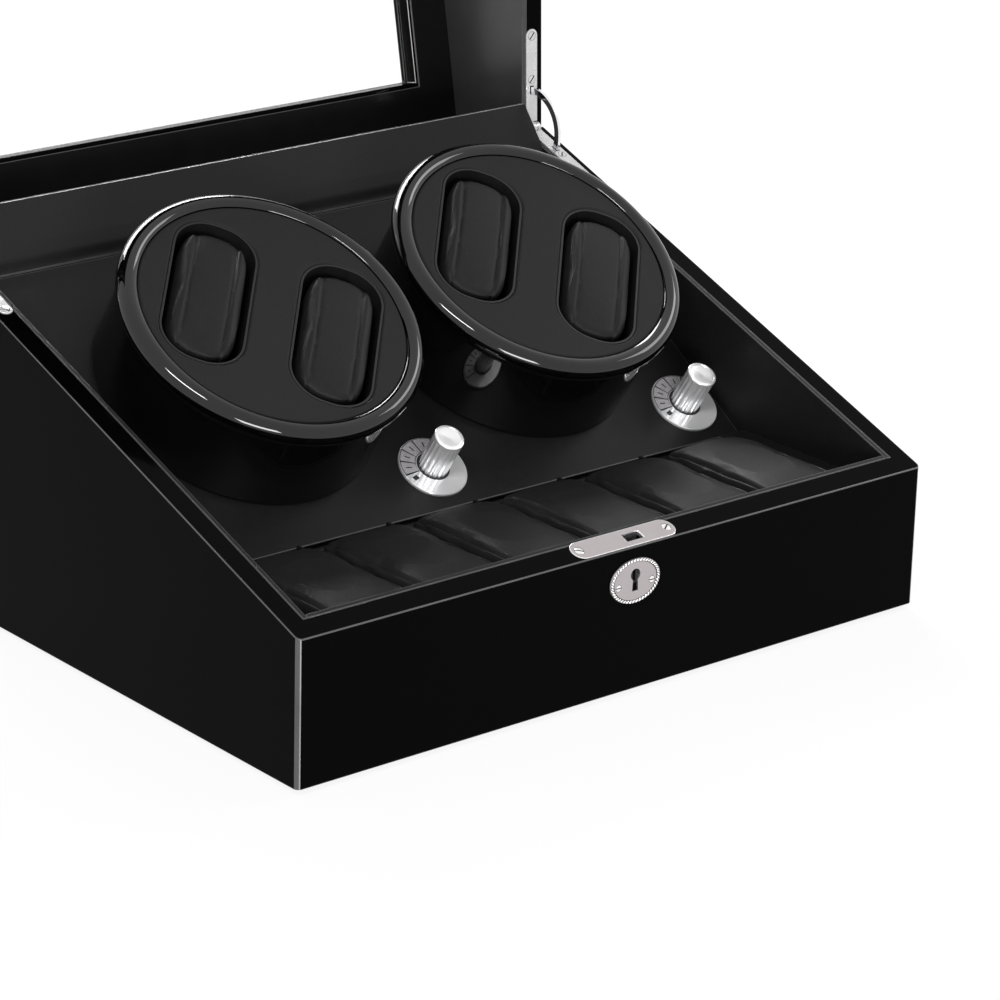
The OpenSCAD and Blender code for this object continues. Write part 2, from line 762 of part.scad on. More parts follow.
module shaft_bushes() {
    color([0.75, 0.6, 0.3]) for (s = [-1, 1]) on_deck(s * table_x, table_s) difference() {
        union() {
            cylinder(h = flange_t, r = shaft_flange_r);
            translate([0, 0, -deck_t - bracket_t]) cylinder(h = deck_t + bracket_t + eps, r = bush_r);
        }
        translate([0, 0, -deck_t - bracket_t - eps])
            cylinder(h = deck_t + bracket_t + flange_t + 2 * eps, r = shaft_r + shaft_play);
    }
}

module bracket_screws(grow = 0) {
    for (s = [-1, 1]) translate([s * bracket_screw_x, 0, -deck_t - bracket_t])
        rotate([180, 0, 0]) screw(bracket_t + deck_t - 1, grow);
}

module motor_brackets() {
    color([0.6, 0.6, 0.62]) for (s = [-1, 1]) on_deck(s * table_x, table_s) difference() {
        block(bracket_l, bracket_w, -deck_t - bracket_t, -deck_t);
        translate([0, 0, -deck_t - bracket_t - eps])
            cylinder(h = bracket_t + 2 * eps, r = bush_r + fit_gap);
        bracket_screws(fit_gap);
    }
}

module motor_screws() {
    color("silver") for (s = [-1, 1]) on_deck(s * table_x, table_s) bracket_screws();
}

module gear_motors() {
    top = -deck_t - bracket_t;
    color([0.45, 0.45, 0.47]) for (s = [-1, 1]) on_deck(s * table_x, table_s) difference() {
        union() {
            translate([0, 0, top - gearbox_h]) cylinder(h = gearbox_h, r = gearbox_r);
            translate([0, 0, top - gearbox_h - motor_h]) cylinder(h = motor_h + eps, r = motor_r);
        }
        translate([0, 0, -shaft_drop - 1]) cylinder(h = shaft_drop, r = shaft_r + shaft_play);
    }
}

// ---- Turntables ----

module turntable_shaft(s) {
    color([0.7, 0.7, 0.72]) on_deck(s * table_x, table_s) {
        translate([0, 0, -shaft_drop]) cylinder(h = shaft_drop + hub_top, r = shaft_r);
        translate([0, 0, drum_floor_z]) cylinder(h = hub_top - drum_floor_z, r = shaft_flange_r);
    }
}

module drum(s) {
    color([0.02, 0.02, 0.022]) on_deck(s * table_x, table_s) difference() {
        translate([0, 0, drum_gap]) cylinder(h = rim_skirt_z - drum_gap, r = drum_r, $fn = 128);
        translate([0, 0, drum_floor_z])
            cylinder(h = rim_skirt_z, r = drum_r - drum_t, $fn = 128);
        translate([0, 0, drum_gap - eps]) cylinder(h = drum_t + 2 * eps, r = shaft_r + shaft_play);
    }
}

module table_rim(s) {
    color([0.02, 0.02, 0.022]) on_deck(s * table_x, table_s) rotate_extrude($fn = 128) {
        intersection() {
            translate([rim_bead_x, rim_bead_z]) circle(rim_bead_r, $fn = 64);
            translate([rim_in, 0]) square([rim_lip + eps, rim_top + eps]);
        }
        translate([rim_in, rim_skirt_z]) square([drum_r - rim_in, rim_bead_z - rim_skirt_z]);
        translate([rim_in - pad_flange, flange_z]) square([pad_flange + eps, pad_z - flange_z]);
    }
}

// Places its children in each pocket: side is -1 for the lower left one and 1 for the other
module in_pocket(s, side) {
    on_deck(s * table_x, table_s) rotate([0, 0, pocket_angle - 90])
        translate([side * pocket_offset, 0, 0]) children();
}

module table_pad(s) {
    color([0.17, 0.17, 0.175]) difference() {
        on_deck(s * table_x, table_s) translate([0, 0, pad_z])
            cylinder(h = pad_t, r = rim_in - fit_gap, $fn = 128);
        for (side = [-1, 1]) in_pocket(s, side) translate([0, 0, pad_z - eps])
            linear_extrude(pad_t + 2 * eps) liner_outline(liner_t + fit_gap);
    }
}

module liner_outline(grow) {
    rounded(pocket_w + 2 * grow, pocket_l + 2 * grow, pocket_r + grow);
}

module pocket_liners(s) {
    color([0.05, 0.05, 0.052]) for (side = [-1, 1]) in_pocket(s, side) difference() {
        translate([0, 0, drum_floor_z]) linear_extrude(pad_top - fit_gap - drum_floor_z)
            liner_outline(liner_t);
        translate([0, 0, drum_floor_z + liner_t]) linear_extrude(pad_top) liner_outline(0);
    }
}

// A crowned watch cushion, clear of its pocket
module cushion(s, side) {
    w = pocket_w - 2 * cushion_gap;
    l = pocket_l - 2 * cushion_end_gap;
    h = pocket_depth - soft_gap + cushion_proud;
    r = pocket_r - cushion_gap;
    rc = (l ^ 2 / 4 + cushion_crown ^ 2) / (2 * cushion_crown);
    color([0.03, 0.03, 0.032]) in_pocket(s, side)
        translate([0, 0, drum_floor_z + liner_t + soft_gap]) intersection() {
            linear_extrude(h) rounded(w, l, r);
            translate([-w, 0, h - rc]) rotate([0, 90, 0]) cylinder(h = 2 * w, r = rc, $fn = 128);
        }
}

// ---- Electrics ----

module control_board() {
    z = base_top + board_rise;
    color([0.05, 0.3, 0.12]) translate([0, board_y, 0]) {
        block(board_w, board_d, z, z + board_t);
        for (sx = [-1, 1]) for (sy = [-1, 1])
            translate([sx * (board_w / 2 - 5), sy * (board_d / 2 - 5), base_top])
                cylinder(h = board_rise + eps, r = 3);
        for (c = chips) translate([c[0], c[1], 0]) block(c[2], c[3], z, z + board_t + c[4]);
        translate([capacitor[0], capacitor[1], z]) cylinder(h = board_t + capacitor[3], r = capacitor[2]);
    }
}

module power_socket() {
    color([0.12, 0.12, 0.13]) translate([socket_x, back_y, socket_zc]) rotate([90, 0, 0]) {
        difference() {
            union() {
                cylinder(h = socket_l, r = socket_r);
                translate([0, 0, -socket_flange_t]) cylinder(h = socket_flange_t, r = socket_flange_r);
            }
            translate([0, 0, -socket_flange_t - eps]) cylinder(h = socket_l, r = socket_bore_r);
        }
        translate([0, 0, 1]) cylinder(h = socket_l - 2, r = socket_pin_r);
    }
}

// ---- Lock ----

module lock_plate() {
    color([0.82, 0.78, 0.76]) on_rim(lock_x, plate_y) difference() {
        translate([0, 0, -plate_sink]) linear_extrude(lock_plate_t)
            rounded(lock_plate_l, lock_plate_w, lock_plate_w / 2 - fit_gap);
        translate([slot_x, 0, 0]) block(slot_l, slot_w, -plate_sink - eps, lock_plate_t);
        for (s = [-1, 1]) translate([s * lock_screw_x, 0, leaf_proud]) screw(screw_l, fit_gap / 2);
    }
}

module lock_case() {
    color([0.5, 0.5, 0.52]) difference() {
        along_x(lock_x - lock_case_l / 2, lock_x + lock_case_l / 2) lock_case_outline(0, 0);
        along_x(lock_x - lock_case_l / 2 + lock_wall, lock_x + lock_case_l / 2 - lock_wall)
            lock_case_outline(-lock_wall, -lock_wall);
        on_rim(lock_x + slot_x, plate_y) block(slot_l, slot_w, -lock_case_t, 1);
        for (s = [-1, 1]) escutcheon_screw_place(s) screw(escutcheon_screw_l, fit_gap / 2);
        translate([key_x, front_y, key_z]) rotate([-90, 0, 0])
            cylinder(h = lock_skin + lock_wall + eps, r = core_r + shaft_play);
    }
}

// A sliding bolt: its tip enters the tongue's notch, its tail reaches down to the key core
module lock_bolt() {
    z1 = rim_z(plate_y) - notch_high - notch_gap - 1;
    z0 = rim_z(plate_y) - notch_low + notch_gap - 1;
    tip = tongue_x - tongue_w / 2 - notch_gap;
    tail_z = key_z + core_r + notch_gap;
    y0 = lock_back_y - lock_wall - fit_gap - bolt_t;
    color([0.8, 0.8, 0.82]) {
        translate([tip - bolt_l, y0, z0]) cube([bolt_l, bolt_t, z1 - z0]);
        translate([tip - bolt_l, y0, tail_z]) cube([bolt_t, bolt_t, z1 - tail_z]);
    }
}

module key_core() {
    color([0.55, 0.5, 0.4]) translate([key_x, 0, key_z]) rotate([-90, 0, 0]) difference() {
        translate([0, 0, front_y + fit_gap]) cylinder(h = core_back - front_y - fit_gap, r = core_r);
        translate([0, 0, front_y]) block(key_slot_w, 2 * core_r - 2, 0, lock_skin + 3);
    }
}

module escutcheon() {
    color([0.82, 0.78, 0.76]) difference() {
        translate([key_x, front_y, escutcheon_zc]) rotate([90, 0, 0])
            linear_extrude(escutcheon_t) oval(escutcheon_l, escutcheon_h);
        translate([key_x, front_y + eps, key_z]) rotate([90, 0, 0]) {
            cylinder(h = escutcheon_t + 2 * eps, r = keyhole_r);
            translate([-keyhole_w / 2, -keyhole_l, 0])
                cube([keyhole_w, keyhole_l, escutcheon_t + 2 * eps]);
        }
        for (s = [-1, 1]) escutcheon_screw_place(s) screw(escutcheon_screw_l, fit_gap / 2);
    }
}

module lock_screws() {
    color("silver") {
        on_rim(lock_x, plate_y) for (s = [-1, 1])
            translate([s * lock_screw_x, 0, leaf_proud]) screw(screw_l);
        for (s = [-1, 1]) escutcheon_screw_place(s) screw(escutcheon_screw_l);
    }
}

// ---- Hinges ----

module case_hinge_leaves() {
    color([0.8, 0.8, 0.82]) for (s = [-1, 1]) difference() {
        union() {
            translate([s * leaf_x, pin_y, pin_z]) rotate([rim_slope, 0, 0])
                translate([0, 0, -leaf_sink]) linear_extrude(leaf_t)
                    leaf_outline(case_leaf_l, knuckle_r / 2, 0);
            on_pin(s * leaf_x - leaf_w / 2, s * leaf_x + leaf_w / 2, knuckle_r);
        }
        on_pin(s * leaf_x - knuckle_w / 2 - knuckle_side, s * leaf_x + knuckle_w / 2 + knuckle_side,
            knuckle_r + notch_gap);
        on_pin(s * leaf_x - leaf_w, s * leaf_x + leaf_w, pin_r + shaft_play);
        sector(s * leaf_x, stay_slot_in, stay_slot_out, stay_slot_t, lid_rim_angle - 4, lid_rim_angle + 6);
        translate([s * leaf_x, pin_y, pin_z]) rotate([rim_slope, 0, 0])
            for (y = [leaf_screw_near, leaf_screw_far])
                translate([0, -y, leaf_proud]) screw(screw_l, fit_gap / 2);
    }
}

module hinge_pins() {
    color([0.8, 0.8, 0.82]) for (s = [-1, 1])
        on_pin(s * leaf_x - leaf_w / 2, s * leaf_x + leaf_w / 2, pin_r);
}

module case_hinge_screws() {
    color("silver") for (s = [-1, 1]) translate([s * leaf_x, pin_y, pin_z]) rotate([rim_slope, 0, 0])
        for (y = [leaf_screw_near, leaf_screw_far]) translate([0, -y, leaf_proud]) screw(screw_l);
}

module lid_stays() {
    color([0.8, 0.8, 0.82]) for (s = [-1, 1])
        sector(s * leaf_x, stay_r - stay_w / 2, stay_r + stay_w / 2, stay_t, stay_from, stay_to);
}

// A leather strip from the deck over the rear rim to the open lid's lining
module hinge_strip() {
    foot = [deck_end_y, deck_end_z + fit_gap];
    bend = [inner_back_y - fit_gap, rim_z(inner_back_y) + soft_gap];
    reach = wall + lining_t;
    tip = [
        pin_y + reach * cos(lid_rest_angle) - soft_gap, pin_z + reach * sin(lid_rest_angle)
    ];
    run = tip - foot;
    side = strip_t * [-run[1], run[0]] / norm(run);
    color([0.08, 0.08, 0.085]) along_x(-inner_x + fit_gap, inner_x - fit_gap)
        polygon([foot, bend, tip, tip + side, bend + side, foot + side]);
}

// ---- Lid ----

module lid_shell() {
    y0 = front_y + wall;
    y1 = back_y - wall;
    color([0.02, 0.02, 0.022]) opened() difference() {
        intersection() {
            along_x(-side_x, side_x) polygon([
                [front_y, lid_rim_z(front_y)], [back_y, lid_rim_z(back_y)],
                [back_y, lid_top_z(back_y)], [front_y, lid_top_z(front_y)]
            ]);
            linear_extrude(lid_top_z(back_y) + eps) footprint();
        }
        along_x(-lining_x, lining_x) polygon([
            [y0, 0], [y1, 0], [y1, lid_under_z(y1)], [y0, lid_under_z(y0)]
        ]);
        on_ceiling() {
            block(2 * window_x, 2 * window_y, 0, glass_top);
            block(2 * (window_x - bead_w), 2 * (window_y - bead_w), 0, glass_top + glass_lip_t + eps);
        }
        for (s = [-1, 1]) lid_leaf_place(s) {
            translate([0, 0, -1]) linear_extrude(leaf_t + 1) leaf_outline(lid_leaf_l, -knuckle_r, fit_gap);
            for (y = [leaf_screw_near, lid_screw_far])
                translate([0, -y, 0]) rotate([180, 0, 0]) screw(screw_l, fit_gap);
        }
        for (s = [-1, 1])
            on_pin(s * leaf_x - leaf_w / 2 - 2 * fit_gap, s * leaf_x + leaf_w / 2 + 2 * fit_gap,
                knuckle_r + notch_gap);
        for (s = [-1, 1])
            sector(s * leaf_x, stay_slot_in, stay_slot_out, stay_slot_t, lid_slot_end, lid_rim_angle + 4);
        strike_place() {
            translate([0, 0, -1]) linear_extrude(lock_plate_t + 1)
                rounded(strike_l + 2 * fit_gap, strike_w + 2 * fit_gap, strike_w / 2);
            for (s = [-1, 1]) translate([s * (strike_l / 2 - 4), 0, 0]) rotate([180, 0, 0])
                screw(screw_l, fit_gap);
        }
    }
}

// Places its children at a lid leaf's outer face, with Z into the closed lid
module lid_leaf_place(s) {
    translate([s * leaf_x, pin_y, pin_z]) rotate([rim_slope, 0, 0])
        translate([0, 0, rim_gap - leaf_proud]) children();
}

module strike_place() {
    on_rim(tongue_x, plate_y) translate([0, 0, rim_gap - leaf_proud]) children();
}

module lid_linings() {
    y0 = front_y + wall;
    y1 = back_y - wall;
    between = inner_x - fit_gap;
    color([0.1, 0.1, 0.105]) opened() {
        for (s = [-1, 1]) {
            intersection() {
                ceiling_sheet(y0, y1);
                on_ceiling() translate([0, s * (window_y + case_d / 2), 0])
                    block(case_w, case_d, -wall, wall);
            }
            intersection() {
                ceiling_sheet(y0, y1);
                on_ceiling() translate([s * (window_x + case_w / 2), 0, 0])
                    block(case_w, 2 * (window_y - fit_gap), -wall, wall);
            }
        }
        for (s = [-1, 1]) along_x(s > 0 ? inner_x : -lining_x, s > 0 ? lining_x : -inner_x)
            lid_lining_outline(y0, y1);
        along_x(-between, between) lid_lining_outline(y0, inner_front_y);
        along_x(-between, between) lid_lining_outline(inner_back_y, y1);
    }
}

// The ceiling lining of the closed lid before it is cut into strips round the window
module ceiling_sheet(y0, y1) {
    along_x(-lining_x, lining_x) polygon([
        [y0, lid_ceiling_z(y0)], [y1, lid_ceiling_z(y1)], [y1, lid_under_z(y1)], [y0, lid_under_z(y0)]
    ]);
}

// The outline of an upright lining of the closed lid, between two depths
module lid_lining_outline(y0, y1) {
    polygon([
        [y0, lid_rim_z(y0)], [y1, lid_rim_z(y1)],
        [y1, lid_ceiling_z(y1) - fit_gap], [y0, lid_ceiling_z(y0) - fit_gap]
    ]);
}

module glass_pane() {
    color([0.8, 0.88, 0.9, 0.35]) opened() on_ceiling()
        block(2 * (window_x - fit_gap), 2 * (window_y - fit_gap), glass_z, glass_top);
}

module glass_bead() {
    color([0.03, 0.03, 0.032]) opened() on_ceiling() difference() {
        block(2 * (window_x - fit_gap), 2 * (window_y - fit_gap), 0, glass_z);
        block(2 * (window_x - bead_w), 2 * (window_y - bead_w), -eps, glass_z + eps);
    }
}

// The plate on the lid's front rim with its hooked tongue
module lid_strike() {
    drop = rim_gap - leaf_proud;
    color([0.8, 0.8, 0.82]) opened() difference() {
        strike_place() {
            linear_extrude(lock_plate_t) rounded(strike_l, strike_w, strike_w / 2 - fit_gap);
            block(tongue_w, tongue_t, -tongue_l - drop, lock_plate_t / 2);
        }
        on_rim(tongue_x, plate_y)
            translate([-tongue_w / 2 - eps, -tongue_t, -notch_low - 1])
                cube([bolt_travel + 2 * eps, 2 * tongue_t, notch_low - notch_high + 1.2]);
        strike_place() for (s = [-1, 1]) translate([s * (strike_l / 2 - 4), 0, 0])
            rotate([180, 0, 0]) screw(screw_l, fit_gap / 2);
    }
}

module lid_hinge_leaves() {
    color([0.8, 0.8, 0.82]) opened() for (s = [-1, 1]) difference() {
        union() {
            lid_leaf_place(s) linear_extrude(leaf_t)
                leaf_outline(lid_leaf_l, knuckle_r + notch_gap, 0);
            lid_leaf_place(s) translate([-knuckle_w / 2, -knuckle_r - 1, 0])
                cube([knuckle_w, knuckle_r + 1, leaf_t]);
            on_pin(s * leaf_x - knuckle_w / 2, s * leaf_x + knuckle_w / 2, knuckle_r);
        }
        on_pin(s * leaf_x - leaf_w, s * leaf_x + leaf_w, pin_r + shaft_play);
        sector(s * leaf_x, stay_slot_in, stay_slot_out, stay_slot_t, lid_rim_angle - 10, lid_rim_angle + 4);
        lid_leaf_place(s) for (y = [leaf_screw_near, lid_screw_far])
            translate([0, -y, 0]) rotate([180, 0, 0]) screw(screw_l, fit_gap / 2);
    }
}

// The screws that hold the lid's leaves and its strike
module lid_hinge_screws() {
    color("silver") opened() {
        for (s = [-1, 1]) lid_leaf_place(s) for (y = [leaf_screw_near, lid_screw_far])
            translate([0, -y, 0]) rotate([180, 0, 0]) screw(screw_l);
        strike_place() for (s = [-1, 1]) translate([s * (strike_l / 2 - 4), 0, 0])
            rotate([180, 0, 0]) screw(screw_l);
    }
}

case_shell();
base_panel();
feet();
foot_screws();
case_linings();
tray_floor();
tray_ledges();
tray_dividers();
riser();
deck();
support_battens();
dial_plates();
rotary_switches();
switch_nuts();
gear_motors();
motor_brackets();
motor_screws();
shaft_bushes();
control_board();
power_socket();
lock_plate();
lock_case();
escutcheon();
lock_screws();
case_hinge_leaves();
hinge_pins();
case_hinge_screws();
hinge_strip();
lid_shell();
lid_linings();
glass_pane();
glass_bead();
lid_strike();
lid_hinge_leaves();
lid_hinge_screws();
lid_stays();
drum(-1);  // left_drum
table_rim(-1);  // left_rim
table_pad(-1);  // left_pad
pocket_liners(-1);  // left_pocket_liners
turntable_shaft(-1);  // left_shaft
drum(1);  // right_drum
table_rim(1);  // right_rim
table_pad(1);  // right_pad
pocket_liners(1);  // right_pocket_liners
turntable_shaft(1);  // right_shaft
cushion(-1, -1);  // left_cushion_outer
cushion(-1, 1);  // left_cushion_inner
cushion(1, -1);  // right_cushion_inner
cushion(1, 1);  // right_cushion_outer
knob(-1);  // left_knob
knob(1);  // right_knob
pillow(0);  // pillow_1
pillow(1);  // pillow_2
pillow(2);  // pillow_3
pillow(3);  // pillow_4
pillow(4);  // pillow_5
pillow(5);  // pillow_6
key_core();
lock_bolt();
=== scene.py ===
import json
import math

import bpy
from mathutils import Matrix, Vector


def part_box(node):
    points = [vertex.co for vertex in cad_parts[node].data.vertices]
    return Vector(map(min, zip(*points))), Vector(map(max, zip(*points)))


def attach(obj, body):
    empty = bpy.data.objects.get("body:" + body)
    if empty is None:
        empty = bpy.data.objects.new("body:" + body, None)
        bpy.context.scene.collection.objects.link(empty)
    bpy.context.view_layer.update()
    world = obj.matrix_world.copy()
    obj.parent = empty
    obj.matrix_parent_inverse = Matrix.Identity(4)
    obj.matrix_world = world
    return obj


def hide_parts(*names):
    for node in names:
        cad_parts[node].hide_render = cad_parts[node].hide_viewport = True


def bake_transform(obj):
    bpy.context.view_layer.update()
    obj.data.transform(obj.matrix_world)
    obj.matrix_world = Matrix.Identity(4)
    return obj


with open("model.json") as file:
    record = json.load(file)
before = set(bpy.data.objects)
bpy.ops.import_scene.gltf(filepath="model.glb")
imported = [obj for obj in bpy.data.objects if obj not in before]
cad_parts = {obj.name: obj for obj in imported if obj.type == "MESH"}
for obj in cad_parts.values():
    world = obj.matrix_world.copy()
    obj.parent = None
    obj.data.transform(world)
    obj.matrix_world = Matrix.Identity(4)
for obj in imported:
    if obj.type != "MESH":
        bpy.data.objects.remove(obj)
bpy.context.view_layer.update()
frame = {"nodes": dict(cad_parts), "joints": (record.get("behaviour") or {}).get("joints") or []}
nodes = frame["nodes"]
joints = {j["name"]: j for j in frame["joints"]}

# Where things are, from the frame
caseLow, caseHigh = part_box("case_shell")
baseLow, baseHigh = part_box("base_panel")
liningLow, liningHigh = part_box("case_linings")
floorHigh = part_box("tray_floor")[1]
ledgeLow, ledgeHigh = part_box("tray_ledges")
deckLow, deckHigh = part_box("deck")
wall = caseHigh.x - baseHigh.x
innerX = floorHigh.x
innerY = liningHigh.y - (liningHigh.x - innerX)
rimSlope = math.radians(20)
lidSlope = math.radians(11.2)
rimGap = 0.0008
pin = Vector(joints["lid_hinge"]["pos_m"])
lidAngle = math.radians(joints["lid_hinge"]["range_deg"][0])
lidSwing = Matrix.Translation(pin) @ Matrix.Rotation(lidAngle, 4, "X") @ Matrix.Translation(-pin)
deckNormal = Vector(joints["left_turn"]["axis"])
deckSlope = math.atan2(-deckNormal.y, deckNormal.z)
deckTilt = Matrix.Rotation(deckSlope, 4, "X")
rimTilt = Matrix.Rotation(rimSlope, 4, "X")

# Tolerances, and how far a blank or a cutter runs past what it cuts
near = 1e-5
weld = 1e-6
slight = 0.1
beyond = 0.01


def rimZ(y):
    return caseHigh.z - (caseHigh.y - y) * math.tan(rimSlope)


def shift(x, y, z):
    return Matrix.Translation((x, y, z))


def swivel(degrees, axis="Z"):
    return Matrix.Rotation(math.radians(degrees), 4, axis)


def onDeck(joint):
    return Matrix.Translation(joints[joint]["pos_m"]) @ deckTilt


def onRim(x, y):
    return shift(x, y, rimZ(y)) @ rimTilt


def only(obj):
    if bpy.context.object and bpy.context.object.mode != "OBJECT":
        bpy.ops.object.mode_set(mode="OBJECT")
    bpy.ops.object.select_all(action="DESELECT")
    if obj:
        obj.select_set(True)
        bpy.context.view_layer.objects.active = obj


def settle(obj, name):
    obj.name = name
    bpy.ops.object.transform_apply(location=True, rotation=True, scale=True)
    return obj


def place(obj, matrix):
    only(obj)
    obj.matrix_world = matrix
    return settle(obj, obj.name)


def twin(obj, name, matrix):
    copy = obj.copy()
    copy.data = obj.data.copy()
    bpy.context.scene.collection.objects.link(copy)
    copy.name = name
    return place(copy, matrix)


def applyModifier(obj, kind, **settings):
    only(obj)
    modifier = obj.modifiers.new(kind.title(), kind)
    for key, value in settings.items():
        setattr(modifier, key, value)
    bpy.ops.object.modifier_apply(modifier=modifier.name)
    return obj


def boxBetween(name, low, high):
    only(None)
    low, high = Vector(low), Vector(high)
    bpy.ops.mesh.primitive_cube_add(size=1, location=(low + high) / 2)
    bpy.context.object.scale = high - low
    return settle(bpy.context.object, name)


def centred(name, x, y, z0, z1):
    return boxBetween(name, (-x, -y, z0), (x, y, z1))


def rod(name, radius, z0, z1, steps=48):
    only(None)
    bpy.ops.mesh.primitive_cylinder_add(
        vertices=steps, radius=radius, depth=z1 - z0, location=(0, 0, (z0 + z1) / 2))
    return settle(bpy.context.object, name)


def rodAlongX(name, radius, x0, x1, steps=48):
    return place(rod(name, radius, x0, x1, steps), swivel(90, "Y"))


def slicePlane(obj, point, normal):
    only(obj)
    bpy.ops.object.mode_set(mode="EDIT")
    bpy.ops.mesh.select_all(action="SELECT")
    bpy.ops.mesh.bisect(plane_co=point, plane_no=normal, use_fill=True, clear_outer=True)
    bpy.ops.object.mode_set(mode="OBJECT")
    return obj


def selectEdges(obj, test):
    only(obj)
    bpy.context.tool_settings.mesh_select_mode = (False, True, False)
    mesh = obj.data
    for group in (mesh.vertices, mesh.edges, mesh.polygons):
        group.foreach_set("select", [False] * len(group))
    for edge in mesh.edges:
        a, b = (mesh.vertices[i].co for i in edge.vertices)
        edge.select = test(a, b)
    bpy.ops.object.mode_set(mode="EDIT")


def bevelEdges(obj, test, offset, segments, finishIndex=-1):
    selectEdges(obj, test)
    bpy.ops.mesh.bevel(offset=offset, segments=segments, affect="EDGES", material=finishIndex)
    bpy.ops.object.mode_set(mode="OBJECT")
    return obj


def roundOff(obj, width, segments=2, angle=30, finishIndex=-1):
    return applyModifier(obj, "BEVEL", width=width, segments=segments, material=finishIndex,
                         limit_method="ANGLE", angle_limit=math.radians(angle))


def giveSlots(obj, *materials):
    obj.data.materials.clear()
    for material in materials:
        obj.data.materials.append(material)


def cutOut(obj, *cutters):
    for cutter in cutters:
        applyModifier(obj, "BOOLEAN", operation="DIFFERENCE", object=cutter, solver="EXACT")
        bpy.data.objects.remove(cutter)
    return obj


def drill(obj, radius, matrix, z0=-0.01, z1=0.01, steps=48):
    return cutOut(obj, place(rod("cutter", radius, z0, z1, steps), matrix))


def discard(*objs):
    for obj in objs:
        bpy.data.objects.remove(obj)


def joined(name, *objs):
    only(objs[0])
    for obj in objs:
        obj.select_set(True)
    bpy.ops.object.join()
    bpy.context.object.name = name
    return bpy.context.object


def isUpright(a, b):
    return abs(a.z - b.z) > 10 * near and (a.xy - b.xy).length < near


def roundedBlock(name, width, length, radius, z0, z1, segments=10):
    obj = centred(name, width / 2, length / 2, z0, z1)
    return bevelEdges(obj, isUpright, radius, segments)


def outline(points):
    # A line of vertices in the XZ plane, drawn from its first point, in edit mode.
    only(None)
    bpy.ops.mesh.primitive_plane_add(size=0.001)
    bpy.context.tool_settings.mesh_select_mode = (True, False, False)
    bpy.ops.object.mode_set(mode="EDIT")
    bpy.ops.mesh.select_all(action="SELECT")
    bpy.ops.mesh.merge(type="CENTER")
    bpy.ops.transform.translate(value=(points[0][0], 0, points[0][1]))
    for (r0, z0), (r1, z1) in zip(points, points[1:]):
        bpy.ops.mesh.extrude_vertices_move(TRANSFORM_OT_translate={"value": (r1 - r0, 0, z1 - z0)})


def spun(name, points, steps=96, start=0, turn=360, closed=False):
    outline(points + points[:1] if closed else points)
    bpy.ops.mesh.select_all(action="SELECT")
    bpy.ops.mesh.remove_doubles(threshold=weld)
    bpy.ops.mesh.spin(steps=steps, angle=-math.radians(turn), center=(0, 0, 0), axis=(0, 0, 1))
    bpy.ops.mesh.select_all(action="SELECT")
    bpy.ops.mesh.remove_doubles(threshold=2 * weld)
    if turn < 360:
        bpy.ops.mesh.fill_holes(sides=0)
    bpy.ops.mesh.select_all(action="SELECT")
    bpy.ops.mesh.normals_make_consistent(inside=False)
    bpy.ops.object.mode_set(mode="OBJECT")
    obj = bpy.context.object
    obj.rotation_euler.z = math.radians(start)
    return settle(obj, name)


def squareRing(name, r0, r1, z0, z1, **turns):
    return spun(name, [(r0, z0), (r1, z0), (r1, z1), (r0, z1)], closed=True, **turns)


def arc(centreR, centreZ, radius, start, end, count):
    angles = [math.radians(start + (end - start) * i / count) for i in range(count + 1)]
    return [(centreR + radius * math.cos(a), centreZ + radius * math.sin(a)) for a in angles]


def finishPiece(obj, body, slotName, material, *replaced, smooth=35, weighted=True):
    only(obj)
    bpy.ops.object.shade_smooth_by_angle(angle=math.radians(smooth))
    if weighted:
        applyModifier(obj, "WEIGHTED_NORMAL", keep_sharp=True, weight=80)
    if material:
        giveSlots(obj, material)
    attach(obj, body)
    if replaced:
        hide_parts(*replaced)
    return obj


def fill(node, values):
    # Sets sockets of a node: a link where the value is another node's output, else the value itself.
    for socket, value in values.items():
        if isinstance(value, bpy.types.NodeSocket):
            node.id_data.links.new(value, node.inputs[socket])
        else:
            node.inputs[socket].default_value = value
    return node


def added(tree, kind, values):
    return fill(tree.nodes.new("ShaderNode" + kind), values)


def grey(level, blue):
    return (level, level, blue, 1)


def finish(name, grain, rough, *colours, level=0.5, metallic=0, glassy=None, cells=False, stretch=None):
    # A shader with a fine grain as bump (scale, strength, depth) and a slow change in its roughness
    # (scale, lowest, highest). Two colours are mixed by the same slow change.
    material = bpy.data.materials.new(name)
    material.use_nodes = True
    tree = material.node_tree
    shader = fill(tree.nodes["Principled BSDF"], {
        "Base Color": colours[0], "Specular IOR Level": level, "Metallic": metallic, **(glassy or {})})
    spot = added(tree, "TexCoord", {}).outputs["Object"]
    grainSpot = spot
    if stretch:
        grainSpot = added(tree, "Mapping", {"Scale": stretch, "Vector": spot}).outputs["Vector"]
    if cells:
        height = added(tree, "TexVoronoi", {"Scale": grain[0], "Vector": grainSpot}).outputs["Distance"]
    else:
        height = added(tree, "TexNoise", {"Scale": grain[0], "Detail": 4, "Vector": grainSpot}).outputs["Fac"]
    bump = added(tree, "Bump", {"Strength": grain[1], "Distance": grain[2], "Height": height})
    fill(shader, {"Normal": bump.outputs["Normal"]})
    if rough:
        slow = added(tree, "TexNoise", {"Scale": rough[0], "Detail": 5, "Vector": spot}).outputs["Fac"]
        spread = added(tree, "MapRange", {"To Min": rough[1], "To Max": rough[2], "Value": slow})
        fill(shader, {"Roughness": spread.outputs["Result"]})
    if len(colours) > 1:
        mix = tree.nodes.new("ShaderNodeMix")
        mix.data_type = "RGBA"
        fill(mix, {"A": colours[0], "B": colours[1], "Factor": slow})
        fill(shader, {"Base Color": mix.outputs["Result"]})
    return material


